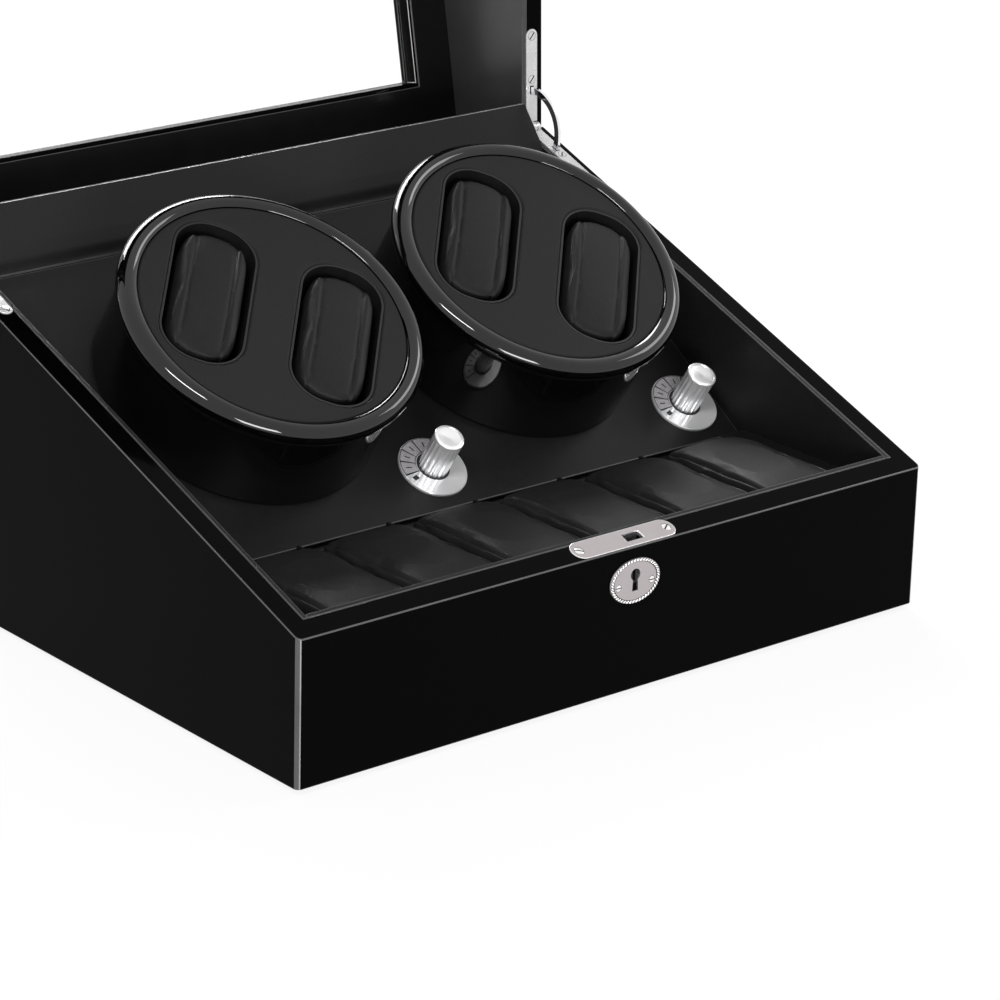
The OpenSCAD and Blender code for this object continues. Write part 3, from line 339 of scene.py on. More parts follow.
# The lacquers
lacquer = finish("blackLacquer", (60, 0.04, 0.0002), (25, 0.03, 0.07), grey(0.0008, 0.0009), level=0.02)
drumLacquer = finish("drumLacquer", (40, 0.03, 0.0002), (25, 0.02, 0.06), grey(0.0020, 0.0021), level=0.8)
rimLacquer = finish("rimLacquer", (40, 0.03, 0.0002), (25, 0.02, 0.06), grey(0.0008, 0.0009), level=0.5)
# Painted highlight: the lacquer's arris faces get a lighter grey than the lacquer, standing in for highlight
# lines along the edges.
lacquerArris = finish("arrisHighlightLacquer", (90, 0.05, 0.0002), (40, 0.15, 0.3), grey(0.03, 0.031),
                      grey(0.09, 0.092))
# Painted highlights for the rounded front corners: a lighter grey, and a brighter grey for the highlight line
# beside the front.
lacquerCorner = finish("cornerLacquer", (60, 0.05, 0.0002), (30, 0.1, 0.25), grey(0.02, 0.0205),
                       grey(0.07, 0.0715), level=0.7)
cornerLine = finish("cornerLine", (60, 0.05, 0.0002), (30, 0.1, 0.25), grey(0.14, 0.142),
                    grey(0.30, 0.305), level=0.6)
# A light grey used as a painted highlight line on the window bead's side edges and along the hinge strip's
# top edge.
paintedHighlightLine = finish("paintedHighlightLine", (60, 0.05, 0.0002), (30, 0.1, 0.25), grey(0.30, 0.305),
                    grey(0.55, 0.555), level=0.6)

# The linings, leathers and plastics
lining = finish("satinLining", (1400, 0.25, 0.0002), (420, 0.38, 0.55), grey(0.0052, 0.0056),
                grey(0.0092, 0.0097), level=0.16)
# The lid's side linings: a glossier lining, its base painted lighter than the case linings as painted light.
lidLining = finish("glossLiningPaintedLight", (1100, 0.1, 0.0002), (60, 0.25, 0.4), grey(0.024, 0.0245),
                   grey(0.042, 0.0425), level=0.35)
# The lid's ceiling: the lining's base painted darker as painted shade.
ceilingLiningPaintedShade = finish("ceilingLiningPaintedShade", (1100, 0.1, 0.0002), (60, 0.15, 0.3), grey(0.0035, 0.0036),
                       grey(0.006, 0.0061), level=0.06)
# Painted highlight: the arris faces of linings, deck and strip get a lighter grey, standing in for highlight
# lines along their edges.
liningArris = finish("liningArrisHighlight", (900, 0.2, 0.0002), (200, 0.3, 0.45), grey(0.03, 0.031),
                     grey(0.075, 0.077), level=0.3)
padLeather = finish("padLeatherette", (1500, 0.35, 0.0002), (500, 0.55, 0.7), grey(0.008, 0.0084),
                    grey(0.0135, 0.014), level=0.14, cells=True)
cushionLeather = finish("cushionLeatherette", (1700, 0.3, 0.0002), (300, 0.42, 0.55), grey(0.007, 0.0075),
                        grey(0.013, 0.0135), level=0.12, cells=True)
linerPlastic = finish("linerPlastic", (900, 0.15, 0.0002), (200, 0.4, 0.55), grey(0.004, 0.0042),
                      grey(0.008, 0.0082), level=0.3)
plastic = finish("blackPlastic", (1200, 0.2, 0.0001), (150, 0.35, 0.5), grey(0.012, 0.013))
boardPaint = finish("greenBoard", (900, 0.1, 0.0001), (150, 0.25, 0.4), (0.01, 0.12, 0.04, 1))
rubber = finish("paleRubber", (900, 0.2, 0.0001), (200, 0.5, 0.7), grey(0.5, 0.49), grey(0.62, 0.6))

# The metals, and the paint in their marks and their painted shade
chrome = finish("chromePlate", (300, 0.03, 0.0001), (120, 0.05, 0.12), grey(0.86, 0.88), metallic=1.0)
turnedChrome = finish("turnedChrome", (700, 0.08, 0.0001), (300, 0.16, 0.3), grey(0.93, 0.94),
                      metallic=0.65)
dialChrome = finish("dialChrome", (500, 0.04, 0.0001), (200, 0.1, 0.2), grey(0.84, 0.85), metallic=0.45)
etchedChrome = finish("etchedChrome", (1800, 0.5, 0.0002), (1500, 0.4, 0.55), (0.15, 0.145, 0.15, 1),
                      (0.85, 0.82, 0.85, 1), metallic=0.4)
nickel = finish("nickelPlate", (500, 0.05, 0.0001), (90, 0.24, 0.34), (0.43, 0.395, 0.405, 1),
                (0.48, 0.445, 0.455, 1), metallic=0.9)
polishedNickel = finish("polishedNickel", (400, 0.04, 0.0001), (120, 0.12, 0.22), (0.85, 0.83, 0.83, 1),
                        metallic=0.8)
hingeNickel = finish("hingeNickel", (500, 0.06, 0.0001), (160, 0.2, 0.34), grey(0.48, 0.485),
                     grey(0.64, 0.645), metallic=0.6)
# The key core, near black: painted shade for the inside of the keyhole.
keyholeShadeSteel = finish("keyholeShadeSteel", (500, 0.1, 0.0001), (150, 0.4, 0.55), grey(0.006, 0.0065), metallic=0.2)
zinc = finish("zincPlate", (500, 0.1, 0.0001), (150, 0.3, 0.45), grey(0.5, 0.52), metallic=1.0)
brass = finish("plainBrass", (500, 0.1, 0.0001), (150, 0.25, 0.4), (0.6, 0.45, 0.2, 1), metallic=1.0)
# Dark paint for the dial's printed marks, and painted shade in the screw slots, the escutcheon's groove and
# the ring round each knob.
darkPaint = finish("markAndShadePaint", (800, 0.1, 0.0001), (300, 0.4, 0.6), grey(0.01, 0.011))

# The boards and the window
rawWood = finish("battenWood", (60, 0.3, 0.0003), (40, 0.5, 0.7), (0.33, 0.22, 0.12, 1),
                 (0.5, 0.37, 0.22, 1), stretch=(1, 0.08, 1))
blackBoard = finish("stainedBoard", (300, 0.3, 0.0002), (120, 0.55, 0.75), (0.012, 0.011, 0.01, 1),
                    (0.025, 0.023, 0.02, 1))
clearGlass = finish("clearGlass", (3, 0.01, 0.0001), None, grey(1, 1),
                    glassy={"Roughness": 0.0, "Transmission Weight": 1.0, "IOR": 1.45})

cadFinishes = {
    "base_panel": blackBoard, "foot_screws": zinc, "support_battens": rawWood,
    "rotary_switches": plastic, "switch_nuts": zinc, "gear_motors": zinc, "motor_brackets": zinc,
    "motor_screws": zinc, "shaft_bushes": brass, "control_board": boardPaint,
    "power_socket": plastic, "lock_case": zinc, "hinge_pins": chrome, "tray_floor": lining,
    "left_shaft": zinc, "right_shaft": zinc, "key_core": keyholeShadeSteel, "lock_bolt": polishedNickel,
}
for node, material in cadFinishes.items():
    nodes[node].data.materials.clear()
    nodes[node].data.materials.append(material)
print("materials made")


carcass = {"frontEdge": 0.003, "edgeSteps": 8, "arris": 0.0005, "arrisSteps": 2, "highlightFrom": 11, "highlightTo": 57,
           "lineTo": 67, "keyPlay": 0.0003, "socketRadius": 0.0056, "over": 0.002}


def paintCornerHighlights(obj):
    # Painted highlight by facing: the middle of each rounded front corner is painted a lighter grey, with a
    # brighter painted highlight line beside the front.
    for face in obj.data.polygons:
        x, y, z = face.normal
        turn = math.degrees(math.atan2(-y, abs(x)))
        face.material_index = 0
        if abs(z) < slight and carcass["highlightFrom"] < turn < carcass["lineTo"]:
            face.material_index = 2 if turn < carcass["highlightTo"] else 3


def wedge(name, low, high, cuts, frontEdge=0.0):
    obj = boxBetween(name, low, high)
    # Slot 1 is the painted edge highlight; slots 2 and 3 are the painted highlights of the rounded front
    # corners.
    giveSlots(obj, lacquer, lacquerArris, lacquerCorner, cornerLine)
    if frontEdge:
        bevelEdges(obj, lambda a, b: isUpright(a, b) and abs(a.y - low[1]) < near,
                   frontEdge, carcass["edgeSteps"])
        paintCornerHighlights(obj)
    for point, normal in cuts:
        slicePlane(obj, point, normal)
    return obj


rimUp = Vector((0, -math.sin(rimSlope), math.cos(rimSlope)))
lidUp = Vector((0, -math.sin(lidSlope), math.cos(lidSlope)))
rimPoint = Vector((0, caseHigh.y, caseHigh.z))
belowRim = (rimPoint, rimUp)
aboveGap = (rimPoint + rimUp * rimGap, -rimUp)


def closedBox(node):
    # A lid node's corners as they are with the lid closed.
    back = lidSwing.inverted()
    places = [back @ v.co for v in nodes[node].data.vertices]
    return (Vector([min(p[i] for p in places) for i in range(3)]),
            Vector([max(p[i] for p in places) for i in range(3)]))


lidHigh = closedBox("lid_shell")[1]
lidTop = Vector((0, lidHigh.y, lidHigh.z))
liningT = liningHigh.x - innerX
ceilingDepth = wall + liningT
window = {"border": 0.0225, "bead": 0.0022, "lip": 0.003, "glass": 0.003, "play": 0.0001, "arris": 0.0003}
windowX = innerX - window["border"]
windowY = innerY / math.cos(lidSlope) - window["border"]
ceilingAt = lidTop - lidUp * ceilingDepth
ceilingMid = shift(0, 0, ceilingAt.z - ceilingAt.y * math.tan(lidSlope)) @ Matrix.Rotation(lidSlope, 4, "X")

leaf = {"x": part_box("hinge_pins")[1].x, "width": 0.0075, "case": 0.060, "lid": 0.053, "thick": 0.0016,
        "proud": 0.00025, "tipRound": 0.98, "knuckle": 0.003, "rib": 0.00035, "bore": 0.4, "gap": 0.0001,
        "web": (0.0004, 0.0014), "arris": 0.0003, "play": 0.0003, "clear": 0.004, "over": 0.001,
        "screws": (0.026, 0.05625), "lidScrews": (0.026, 0.04925), "screwTurn": 50, "screwDome": 0.0001,
        "stayGap": (190, 210)}
leafX = leaf["x"] - leaf["width"] / 2
leafFace = rimGap - leaf["proud"]
stay = {"inner": 0.0186, "outer": 0.0222, "thick": 0.0018, "play": 0.0004, "room": 0.0005, "arris": 0.0003,
        "from": 79.5, "to": 208, "caseSlot": (196, 266.5), "lidSlot": (133.75, 204)}
stayRoom = (stay["inner"] - stay["room"], stay["outer"] + stay["room"], stay["thick"] + 2 * stay["play"])
lockPlate = {"x": 0.002, "y": caseLow.y + 0.0063, "length": 0.062, "width": 0.012, "thick": 0.0012,
             "proud": 0.00025, "play": 0.0001, "arris": 0.00045, "slotX": 0.006, "slot": (0.010, 0.005),
             "slotRoom": (0.0055, 0.0028), "slotDepth": 0.012, "slotTop": 0.002, "screw": 0.02665,
             "screwTurn": 35}
strike = {"length": 0.040, "width": 0.009, "thick": 0.0012, "play": 0.0001, "arris": 0.0003,
          "tongue": (0.004, 0.001), "tip": -0.0063, "root": 0.0005, "notch": (-0.0059, -0.0023)}


def ringSector(name, x, inner, outer, thick, start, end, steps=40):
    # Part of a flat ring round the hinge pins, between two angles from +Y towards +Z.
    obj = squareRing(name, inner, outer, -thick / 2, thick / 2, steps=steps, start=start, turn=end - start)
    alongX = Matrix(((0, 0, 1, 0), (1, 0, 0, 0), (0, 1, 0, 0), (0, 0, 0, 1)))
    return place(obj, shift(x, pin.y, pin.z) @ alongX)


def leafBlank(name, length, start, z0, z1, half):
    # A flat bar from near the pin to its rounded end.
    bar = boxBetween(name, (-half, -length, z0), (half, -start, z1))
    return bevelEdges(bar, lambda a, b: isUpright(a, b) and abs(a.y + length) < near,
                      half * leaf["tipRound"], 8)


def hingeCutters(side, length, below, above, slot):
    # The recess for a leaf, its knuckles and its stay; z runs from the rim plane through the pins.
    half = leaf["width"] / 2 + leaf["play"]
    at = shift(side * leafX, pin.y, pin.z)
    recess = leafBlank("cutter", length + leaf["play"], -leaf["knuckle"], below, above, half)
    room = rodAlongX("cutter", leaf["knuckle"] + leaf["play"], -half - leaf["gap"], half + leaf["gap"])
    swing = ringSector("cutter", side * leafX, *stayRoom, *slot)
    return place(recess, at @ rimTilt), place(room, at), swing


def cutHinges(obj, length, below, above, slot):
    # Both sides' recesses in one go, then their rooms, then their slots, which keeps the mesh closed.
    cutters = [hingeCutters(side, length, below, above, slot) for side in (-1, 1)]
    for pair in zip(*cutters):
        cutOut(obj, *pair)


def makeCase():
    top = caseHigh.z + beyond
    shell = wedge("caseShell", caseLow, (caseHigh.x, caseHigh.y, top), [belowRim], carcass["frontEdge"])
    cutOut(shell, boxBetween("cutter", (-baseHigh.x, baseLow.y, 0), (baseHigh.x, baseHigh.y, top + beyond)))
    # The arris faces take slot 1, the painted edge highlight.
    roundOff(shell, carcass["arris"], carcass["arrisSteps"], finishIndex=1)
    cutHinges(shell, leaf["case"], leaf["proud"] - leaf["thick"], leaf["clear"], stay["caseSlot"])
    width = lockPlate["width"]
    extra = 2 * lockPlate["play"]
    plateRoom = roundedBlock("cutter", lockPlate["length"] + extra, width + extra, width / 2,
                             -lockPlate["thick"] + lockPlate["proud"], leaf["clear"])
    slotX, (halfX, halfY) = lockPlate["slotX"], lockPlate["slotRoom"]
    slotRoom = boxBetween("cutter", (slotX - halfX, -halfY, -lockPlate["slotDepth"]),
                          (slotX + halfX, halfY, lockPlate["slotTop"]))
    for cutter in (plateRoom, slotRoom):
        cutOut(shell, place(cutter, onRim(lockPlate["x"], lockPlate["y"])))
    coreLow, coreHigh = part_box("key_core")
    core = (coreLow + coreHigh) / 2
    drill(shell, (coreHigh.x - coreLow.x) / 2 + carcass["keyPlay"],
          shift(core.x, caseLow.y, core.z) @ swivel(-90, "X"), -carcass["over"], wall)
    socketLow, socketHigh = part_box("power_socket")
    socket = (socketLow + socketHigh) / 2
    drill(shell, carcass["socketRadius"], shift(socket.x, caseHigh.y, socket.z) @ swivel(90, "X"),
          -carcass["over"], wall + carcass["over"])
    finishPiece(shell, "case", "lacquer", None, "case_shell")


def makeLid():
    top = lidHigh.z + beyond
    outer = wedge("lidShell", (caseLow.x, caseLow.y, 0), (caseHigh.x, caseHigh.y, top),
                  [(lidTop, lidUp), aboveGap], carcass["frontEdge"])
    hollow = wedge("cutter", (-baseHigh.x, baseLow.y, 0), (baseHigh.x, baseHigh.y, top),
                   [(lidTop - lidUp * wall, lidUp)])
    cutOut(outer, hollow)
    glassTop = ceilingDepth - window["lip"]
    beadTop = glassTop - window["glass"]
    paneX, paneY = windowX - window["play"], windowY - window["play"]
    clearX, clearY = windowX - window["bead"], windowY - window["bead"]
    rebate = centred("cutter", windowX, windowY, 0, glassTop)
    opening = centred("cutter", clearX, clearY, 0, ceilingDepth + beyond)
    for cutter in (rebate, opening):
        cutOut(outer, place(cutter, ceilingMid))
    # The arris faces take slot 1, the painted edge highlight.
    roundOff(outer, carcass["arris"], carcass["arrisSteps"], finishIndex=1)
    cutHinges(outer, leaf["lid"], leafFace - leaf["over"], leafFace + leaf["thick"], stay["lidSlot"])
    strikeLow, strikeHigh = closedBox("lid_strike")
    width = strike["width"]
    extra = 2 * strike["play"]
    strikeRoom = roundedBlock("cutter", strike["length"] + extra, width + extra, width / 2,
                              leafFace - leaf["over"], leafFace + strike["thick"])
    cutOut(outer, place(strikeRoom, onRim((strikeLow.x + strikeHigh.x) / 2, lockPlate["y"])))
    finishPiece(place(outer, lidSwing), "lid", "lacquer", None, "lid_shell")

    pane = centred("glassPane", paneX, paneY, beadTop, glassTop)
    finishPiece(place(pane, lidSwing @ ceilingMid), "lid", "glass", clearGlass, "glass_pane")
    bead = centred("glassBead", paneX, paneY, 0, beadTop)
    cutOut(bead, centred("cutter", clearX, clearY, -beyond, 2 * beyond))
    # The bead's arris faces take the painted highlight line; only those facing sideways keep it.
    giveSlots(bead, lacquer, paintedHighlightLine)
    roundOff(bead, window["arris"], finishIndex=1)
    for face in bead.data.polygons:
        if abs(face.normal.x) < slight:
            face.material_index = 0
    finishPiece(place(place(bead, ceilingMid), lidSwing), "lid", "lacquer", None, "glass_bead")


makeCase()
makeLid()
print("carcasses made")


panel = {"arris": 0.0005, "gap": 0.0001, "ledgeArris": 0.0008, "divider": 0.002, "dividers": 5}


def board(name, low, high, cuts, node, body="case", swing=None, edge=liningArris, arris=None):
    obj = wedge(name, low, high, cuts)
    # The lid's boards take the lining painted lighter as painted light; the arris faces take edge, by default
    # the painted arris highlight.
    giveSlots(obj, lidLining if swing else lining, edge)
    roundOff(obj, arris or panel["arris"], finishIndex=1)
    if swing:
        place(obj, swing)
    return finishPiece(obj, body, "lining", None, node)


def makeLinings():
    top = caseHigh.z
    outX = liningHigh.x
    between = innerX - panel["gap"]
    spans = {
        "Left": ((-outX, liningLow.y), (-innerX, liningHigh.y)),
        "Right": ((innerX, liningLow.y), (outX, liningHigh.y)),
        "Front": ((-between, liningLow.y), (between, liningLow.y + liningT)),
        "Rear": ((-between, innerY), (between, liningHigh.y)),
    }
    ceiling = (ceilingAt - lidUp * panel["gap"], lidUp)
    for side, (low, high) in spans.items():
        board("caseLining" + side, (*low, liningLow.z), (*high, top), [belowRim], "case_linings")
        board("lidLining" + side, (*low, 0), (*high, lidHigh.z), [ceiling, aboveGap],
              "lid_linings", "lid", lidSwing)
    sheetTop = (lidTop - lidUp * wall, lidUp)
    sheetBottom = (ceilingAt, -lidUp)
    sheet = wedge("lidLiningCeiling", (-outX, liningLow.y, 0), (outX, liningHigh.y, lidHigh.z),
                  [sheetTop, sheetBottom])
    hole = centred("cutter", windowX, windowY, -beyond, beyond)
    cutOut(sheet, place(hole, ceilingMid))
    # The ceiling sheet takes the lining painted darker as painted shade, with the painted arris highlight on
    # its edges.
    giveSlots(sheet, ceilingLiningPaintedShade, liningArris)
    roundOff(sheet, panel["arris"], finishIndex=1)
    finishPiece(place(sheet, lidSwing), "lid", "lining", None, "lid_linings")


def makeTray():
    riserLow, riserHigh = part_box("riser")
    low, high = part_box("tray_dividers")
    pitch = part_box("pillow_2")[0].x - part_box("pillow_1")[0].x
    for i in range(panel["dividers"]):
        x = low.x + i * pitch
        board(f"trayDivider{i + 1}", (x, low.y, low.z), (x + panel["divider"], high.y, high.z),
              [], "tray_dividers", edge=lining)
    edge = low.x + panel["divider"] - pitch
    for name, x0, x1 in (("Left", -innerX, edge), ("Right", -edge, innerX)):
        board("trayLedge" + name, (x0, ledgeLow.y, ledgeLow.z), (x1, ledgeHigh.y, ledgeHigh.z),
              [], "tray_ledges", arris=panel["ledgeArris"])
    board("riserBoard", riserLow, riserHigh, [(Vector((0, deckUnder.y, deckUnder.z)), deckNormal)], "riser")


tablePlace = onDeck("left_turn").translation
deckFront = (deckLow.y - tablePlace.y) / math.cos(deckSlope)
deckRear = (deckHigh.z - tablePlace.z) / math.sin(deckSlope)
deckLook = {"thick": 0.0035, "arris": 0.0007, "shaftHole": 0.0061, "knobHole": 0.004}
frontEdge = Vector((0, tablePlace.y, tablePlace.z)) + deckTilt @ Vector((0, deckFront, 0))
deckUnder = frontEdge - deckNormal * deckLook["thick"]
deckMid = shift(0, tablePlace.y, tablePlace.z) @ deckTilt


def makeDeck():
    deck = boxBetween("deckBoard", (deckLow.x, deckFront, -deckLook["thick"]), (deckHigh.x, deckRear, 0))
    # The deck's arris faces take the painted arris highlight.
    giveSlots(deck, lining, liningArris)
    roundOff(deck, deckLook["arris"], finishIndex=1)
    for side in ("left", "right"):
        tableX = joints[side + "_turn"]["pos_m"][0]
        knobAt = Vector(joints[side + "_knob_turn"]["pos_m"])
        knobS = (knobAt.y - tablePlace.y) / math.cos(deckSlope)
        drill(deck, deckLook["shaftHole"], shift(tableX, 0, 0))
        drill(deck, deckLook["knobHole"], shift(knobAt.x, knobS, 0))
    place(deck, deckMid)
    finishPiece(deck, "case", "lining", None, "deck")


makeLinings()
makeDeck()
makeTray()
print("linings, deck and tray made")


filling = {"pressure": 4, "frames": 20, "smooth": 0.5, "smoothTimes": 3}


def stuffed(obj, voxel, cap, low, high):
    # Swells a closed form as cloth round its filling, within a box, and leaves the mesh applied.
    applyModifier(obj, "REMESH", mode="VOXEL", voxel_size=voxel)
    rest = [v.co.copy() for v in obj.data.vertices]
    cloth = obj.modifiers.new("Cloth", "CLOTH")
    cloth.settings.use_pressure = True
    cloth.settings.uniform_pressure_force = filling["pressure"]
    cloth.settings.effector_weights.gravity = 0
    scene = bpy.context.scene
    for step in range(1, filling["frames"] + 1):
        scene.frame_set(step)
    shaped = obj.evaluated_get(bpy.context.evaluated_depsgraph_get()).to_mesh()
    moved = [v.co.copy() for v in shaped.vertices]
    obj.modifiers.remove(cloth)
    scene.frame_set(1)
    for vertex, before, after in zip(obj.data.vertices, rest, moved):
        step = after - before
        if step.length > cap:
            step *= cap / step.length
        vertex.co = before + step
    applyModifier(obj, "SMOOTH", factor=filling["smooth"], iterations=filling["smoothTimes"])
    applyModifier(obj, "SUBSURF", levels=1, render_levels=1)
    for vertex in obj.data.vertices:
        for i in range(3):
            vertex.co[i] = min(max(vertex.co[i], low[i]), high[i])
    return obj


def crowned(obj, look, size):
    # Lowers the top of a block towards its sides and ends, to a crown.
    for vertex in obj.data.vertices:
        x, y, z = vertex.co
        share = max(0, z / size[2])
        across, along = abs(2 * x / size[0]), abs(2 * y / size[1])
        fall = look["riseX"] * across ** look["bowX"] + look["riseY"] * along ** look["bowY"]
        vertex.co.z = z - share * fall


def seamed(obj, spot, look):
    # Sews the band of a pad to its two side panels: a seam at each side, the band a little sunk.
    for vertex in obj.data.vertices:
        away = abs(vertex.co.x) - spot
        push = look["seamDepth"] * max(0, 1 - abs(away) / look["seamWidth"]) ** look["seamRound"]
        if away < 0:
            push += look["sink"] * min(1, -away / look["seamWidth"])
        turn = Vector((0, vertex.normal.y, vertex.normal.z))
        vertex.co -= turn * push
    return obj


def padBlock(name, size, look):
    shrink = look["shrink"]
    obj = roundedBlock(name, size[0] - 2 * shrink, size[1] - 2 * shrink, look["corner"] - shrink,
                       shrink, size[2] - shrink)
    return applyModifier(obj, "REMESH", mode="VOXEL", voxel_size=look["voxel"])


pillow = {"corner": 0.0045, "shrink": 0.0008, "riseX": 0.0016, "riseY": 0.0030, "bowX": 2.4, "bowY": 4.0,
          "voxel": 0.0020, "cap": 0.0016, "seam": 0.0034, "seamWidth": 0.0018, "seamDepth": 0.0020,
          "seamRound": 1.3, "sink": 0.0004, "fill": 0.7}
cushion = {"corner": 0.015, "shrink": 0.0008, "riseX": 0.0015, "riseY": 0.0035, "bowX": 2.4, "bowY": 2.6,
           "voxel": 0.0020, "cap": 0.0018, "seam": 0.0068, "seamWidth": 0.0018, "seamDepth": 0.0018,
           "seamRound": 1.3, "sink": 0.0012, "fill": 0.8}


def makePad(name, size, look):
    obj = padBlock(name, size, look)
    crowned(obj, look, size)
    half = Vector((size[0] / 2, size[1] / 2))
    stuffed(obj, look["voxel"], look["cap"], (-half.x, -half.y, 0), (half.x, half.y, size[2]))
    return seamed(obj, half.x - look["seam"], look)


def makePillows():
    low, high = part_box("pillow_1")
    master = makePad("pillowMaster", high - low, pillow)
    for i in range(1, 7):
        low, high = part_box(f"pillow_{i}")
        piece = twin(master, f"pillow{i}", shift((low.x + high.x) / 2, (low.y + high.y) / 2, low.z))
        finishPiece(piece, f"pillow_{i}_body", "cushion_leather", cushionLeather, f"pillow_{i}",
                    smooth=60, weighted=False)
    discard(master)


pocket = {"width": 0.040, "length": 0.090, "corner": 0.018, "offset": 0.032, "angle": 52,
          "wall": 0.0012, "gap": 0.003, "steps": 14}


def pocketAt(which):
    return swivel(pocket["angle"] - 90) @ shift(which * pocket["offset"], 0, 0)


def deckSpan(node, side):
    # The lowest and highest points of a node above the deck.
    back = onDeck(side + "_turn").inverted()
    heights = [(back @ v.co).z for v in nodes[node].data.vertices]
    return min(heights), max(heights)


def makeCushions():
    z0, z1 = deckSpan("left_cushion_outer", "left")
    size = Vector((pocket["width"] - 2 * pocket["gap"], pocket["length"] - 2 * pocket["gap"], z1 - z0))
    master = makePad("cushionMaster", size, cushion)
    for side, which, part in (("left", -1, "outer"), ("left", 1, "inner"),
                              ("right", -1, "inner"), ("right", 1, "outer")):
        spot = onDeck(side + "_turn") @ pocketAt(which) @ shift(0, 0, z0)
        piece = twin(master, f"{side}Cushion{part.title()}", spot)
        finishPiece(piece, f"{side}_{part}_cushion", "cushion_leather", cushionLeather,
                    f"{side}_cushion_{part}", smooth=60, weighted=False)
    discard(master)


makePillows()
makeCushions()
print("pillows and cushions made")


table = {"rim": 0.0766, "bead": 0.0055, "beadFrom": -72, "lip": 0.0093, "drum": 0.072, "wall": 0.0025,
         "foot": 0.001, "hub": 0.003, "ledge": 0.0036, "ledgeLow": 0.002, "ledgeHigh": 0.005,
         "padPlay": 0.0001, "padSink": 0.0003, "padEdge": 0.0015, "linerPlay": 0.0002, "linerSink": 0.0006,
         "steps": 128}


def makeTurntables():
    drumLow, drumHigh = deckSpan("left_drum", "left")
    rimLow, rimHigh = deckSpan("left_rim", "left")
    padLow, padHigh = deckSpan("left_pad", "left")
    linerLow, linerHigh = deckSpan("left_pocket_liners", "left")
    drumR, wallT, hub, foot = (table[key] for key in ("drum", "wall", "hub", "foot"))
    drum = spun("drum", [
        (hub, drumLow), *arc(drumR - foot, drumLow + foot, foot, -90, 0, 4), (drumR, drumHigh),
        (drumR - wallT, drumHigh), (drumR - wallT, drumLow + wallT), (hub, drumLow + wallT)],
        steps=table["steps"], closed=True)
    rimIn = table["rim"] - table["lip"]
    ledgeIn = rimIn - table["ledge"]
    beadR, beadZ = table["rim"] - table["bead"], rimHigh - table["bead"]
    beadTo = math.degrees(math.acos((rimIn - beadR) / table["bead"]))
    ledgeZ0, ledgeZ1 = rimLow + table["ledgeLow"], rimLow + table["ledgeHigh"]
    ring = spun("rim", [
        *arc(beadR, beadZ, table["bead"], table["beadFrom"], beadTo, 30), (rimIn, padHigh - table["padSink"]),
        (rimIn, ledgeZ1), (ledgeIn, ledgeZ1), (ledgeIn, ledgeZ0), (rimIn, ledgeZ0), (rimIn, rimLow),
        (drumR, rimLow)], steps=table["steps"], closed=True)
    disc = rod("pad", rimIn - table["padPlay"], padLow, padHigh, steps=table["steps"])
    liners = []
    width, length, corner, linerT = (pocket[key] for key in ("width", "length", "corner", "wall"))
    outX, outY, outCorner = width + 2 * linerT, length + 2 * linerT, corner + linerT
    play, steps = table["linerPlay"], pocket["steps"]
    for which in (-1, 1):
        hole = roundedBlock("cutter", outX, outY, outCorner, padLow - beyond, padHigh + beyond, steps)
        cutOut(disc, place(hole, pocketAt(which)))
        liner = roundedBlock("liner", outX - play, outY - play, outCorner,
                             linerLow, linerHigh - table["linerSink"], steps)
        hollow = roundedBlock("cutter", width, length, corner, linerLow + linerT, linerHigh + beyond, steps)
        cutOut(liner, hollow)
        liners.append(place(liner, pocketAt(which)))
    roundOff(disc, table["padEdge"], 4, angle=40)
    liner = joined("liners", *liners)
    for side in ("left", "right"):
        spot = onDeck(side + "_turn")
        body = side + "_turntable"
        finishPiece(twin(drum, side + "Drum", spot), body, "lacquer", drumLacquer, side + "_drum")
        finishPiece(twin(ring, side + "Rim", spot), body, "lacquer", rimLacquer, side + "_rim", smooth=50)
        finishPiece(twin(disc, side + "Pad", spot), body, "pad_leather", padLeather, side + "_pad")
        finishPiece(twin(liner, side + "PocketLiners", spot), body, "black_plastic", linerPlastic,
                    side + "_pocket_liners")
    discard(drum, ring, disc, liner)


makeTurntables()
print("turntables made")


dial = {"radius": 0.01795, "thick": 0.0015, "hole": 0.004, "edge": 0.0004, "root": 0.0001,
        "cells": (62, 98, 128, 155, 184), "cellIn": 0.0095, "cellOut": 0.0170, "cellGap": 3.2,
        "cellRise": 0.00014, "frame": 0.00035, "frameRise": 0.00015, "tick": (0.0120, 0.0150, 0.0003),
        "tickRise": 0.00008, "knobShadeRing": (0.0045, 0.0009), "dot": (0.0122, 0.0152, 0.0012), "dotAt": 197}
knobLow, knobHigh = deckSpan("left_knob", "left")
knob = {"radius": 0.0077, "edge": 0.0005, "cap": 0.0016, "skirt": 0.0014, "waist": 0.0002, "ridges": 18,
        "ridgeDepth": 0.0005, "lip": (0.0012, 0.0014, 0.0016), "lipSink": 0.0003, "faceSink": 0.0002,
        "edgeMid": 0.35, "turnedIn": 0.0004, "grooves": 9, "grooveAt": (0.4, 0.8), "grooveDepth": 0.00003,
        "cone": 0.0003}


def turnedFace(outer, z):
    # The face of a knob, hollowed a little and turned with fine rings.
    points = []
    deepAt, endAt = knob["grooveAt"]
    step = (outer - knob["turnedIn"]) / knob["grooves"]
    for i in range(knob["grooves"]):
        r = outer - i * step
        low = z - knob["cone"] * (1 - r / outer)
        points += [(r, low), (r - step * deepAt, low - knob["grooveDepth"]), (r - step * endAt, low)]
    return points + [(0, z - knob["cone"])]


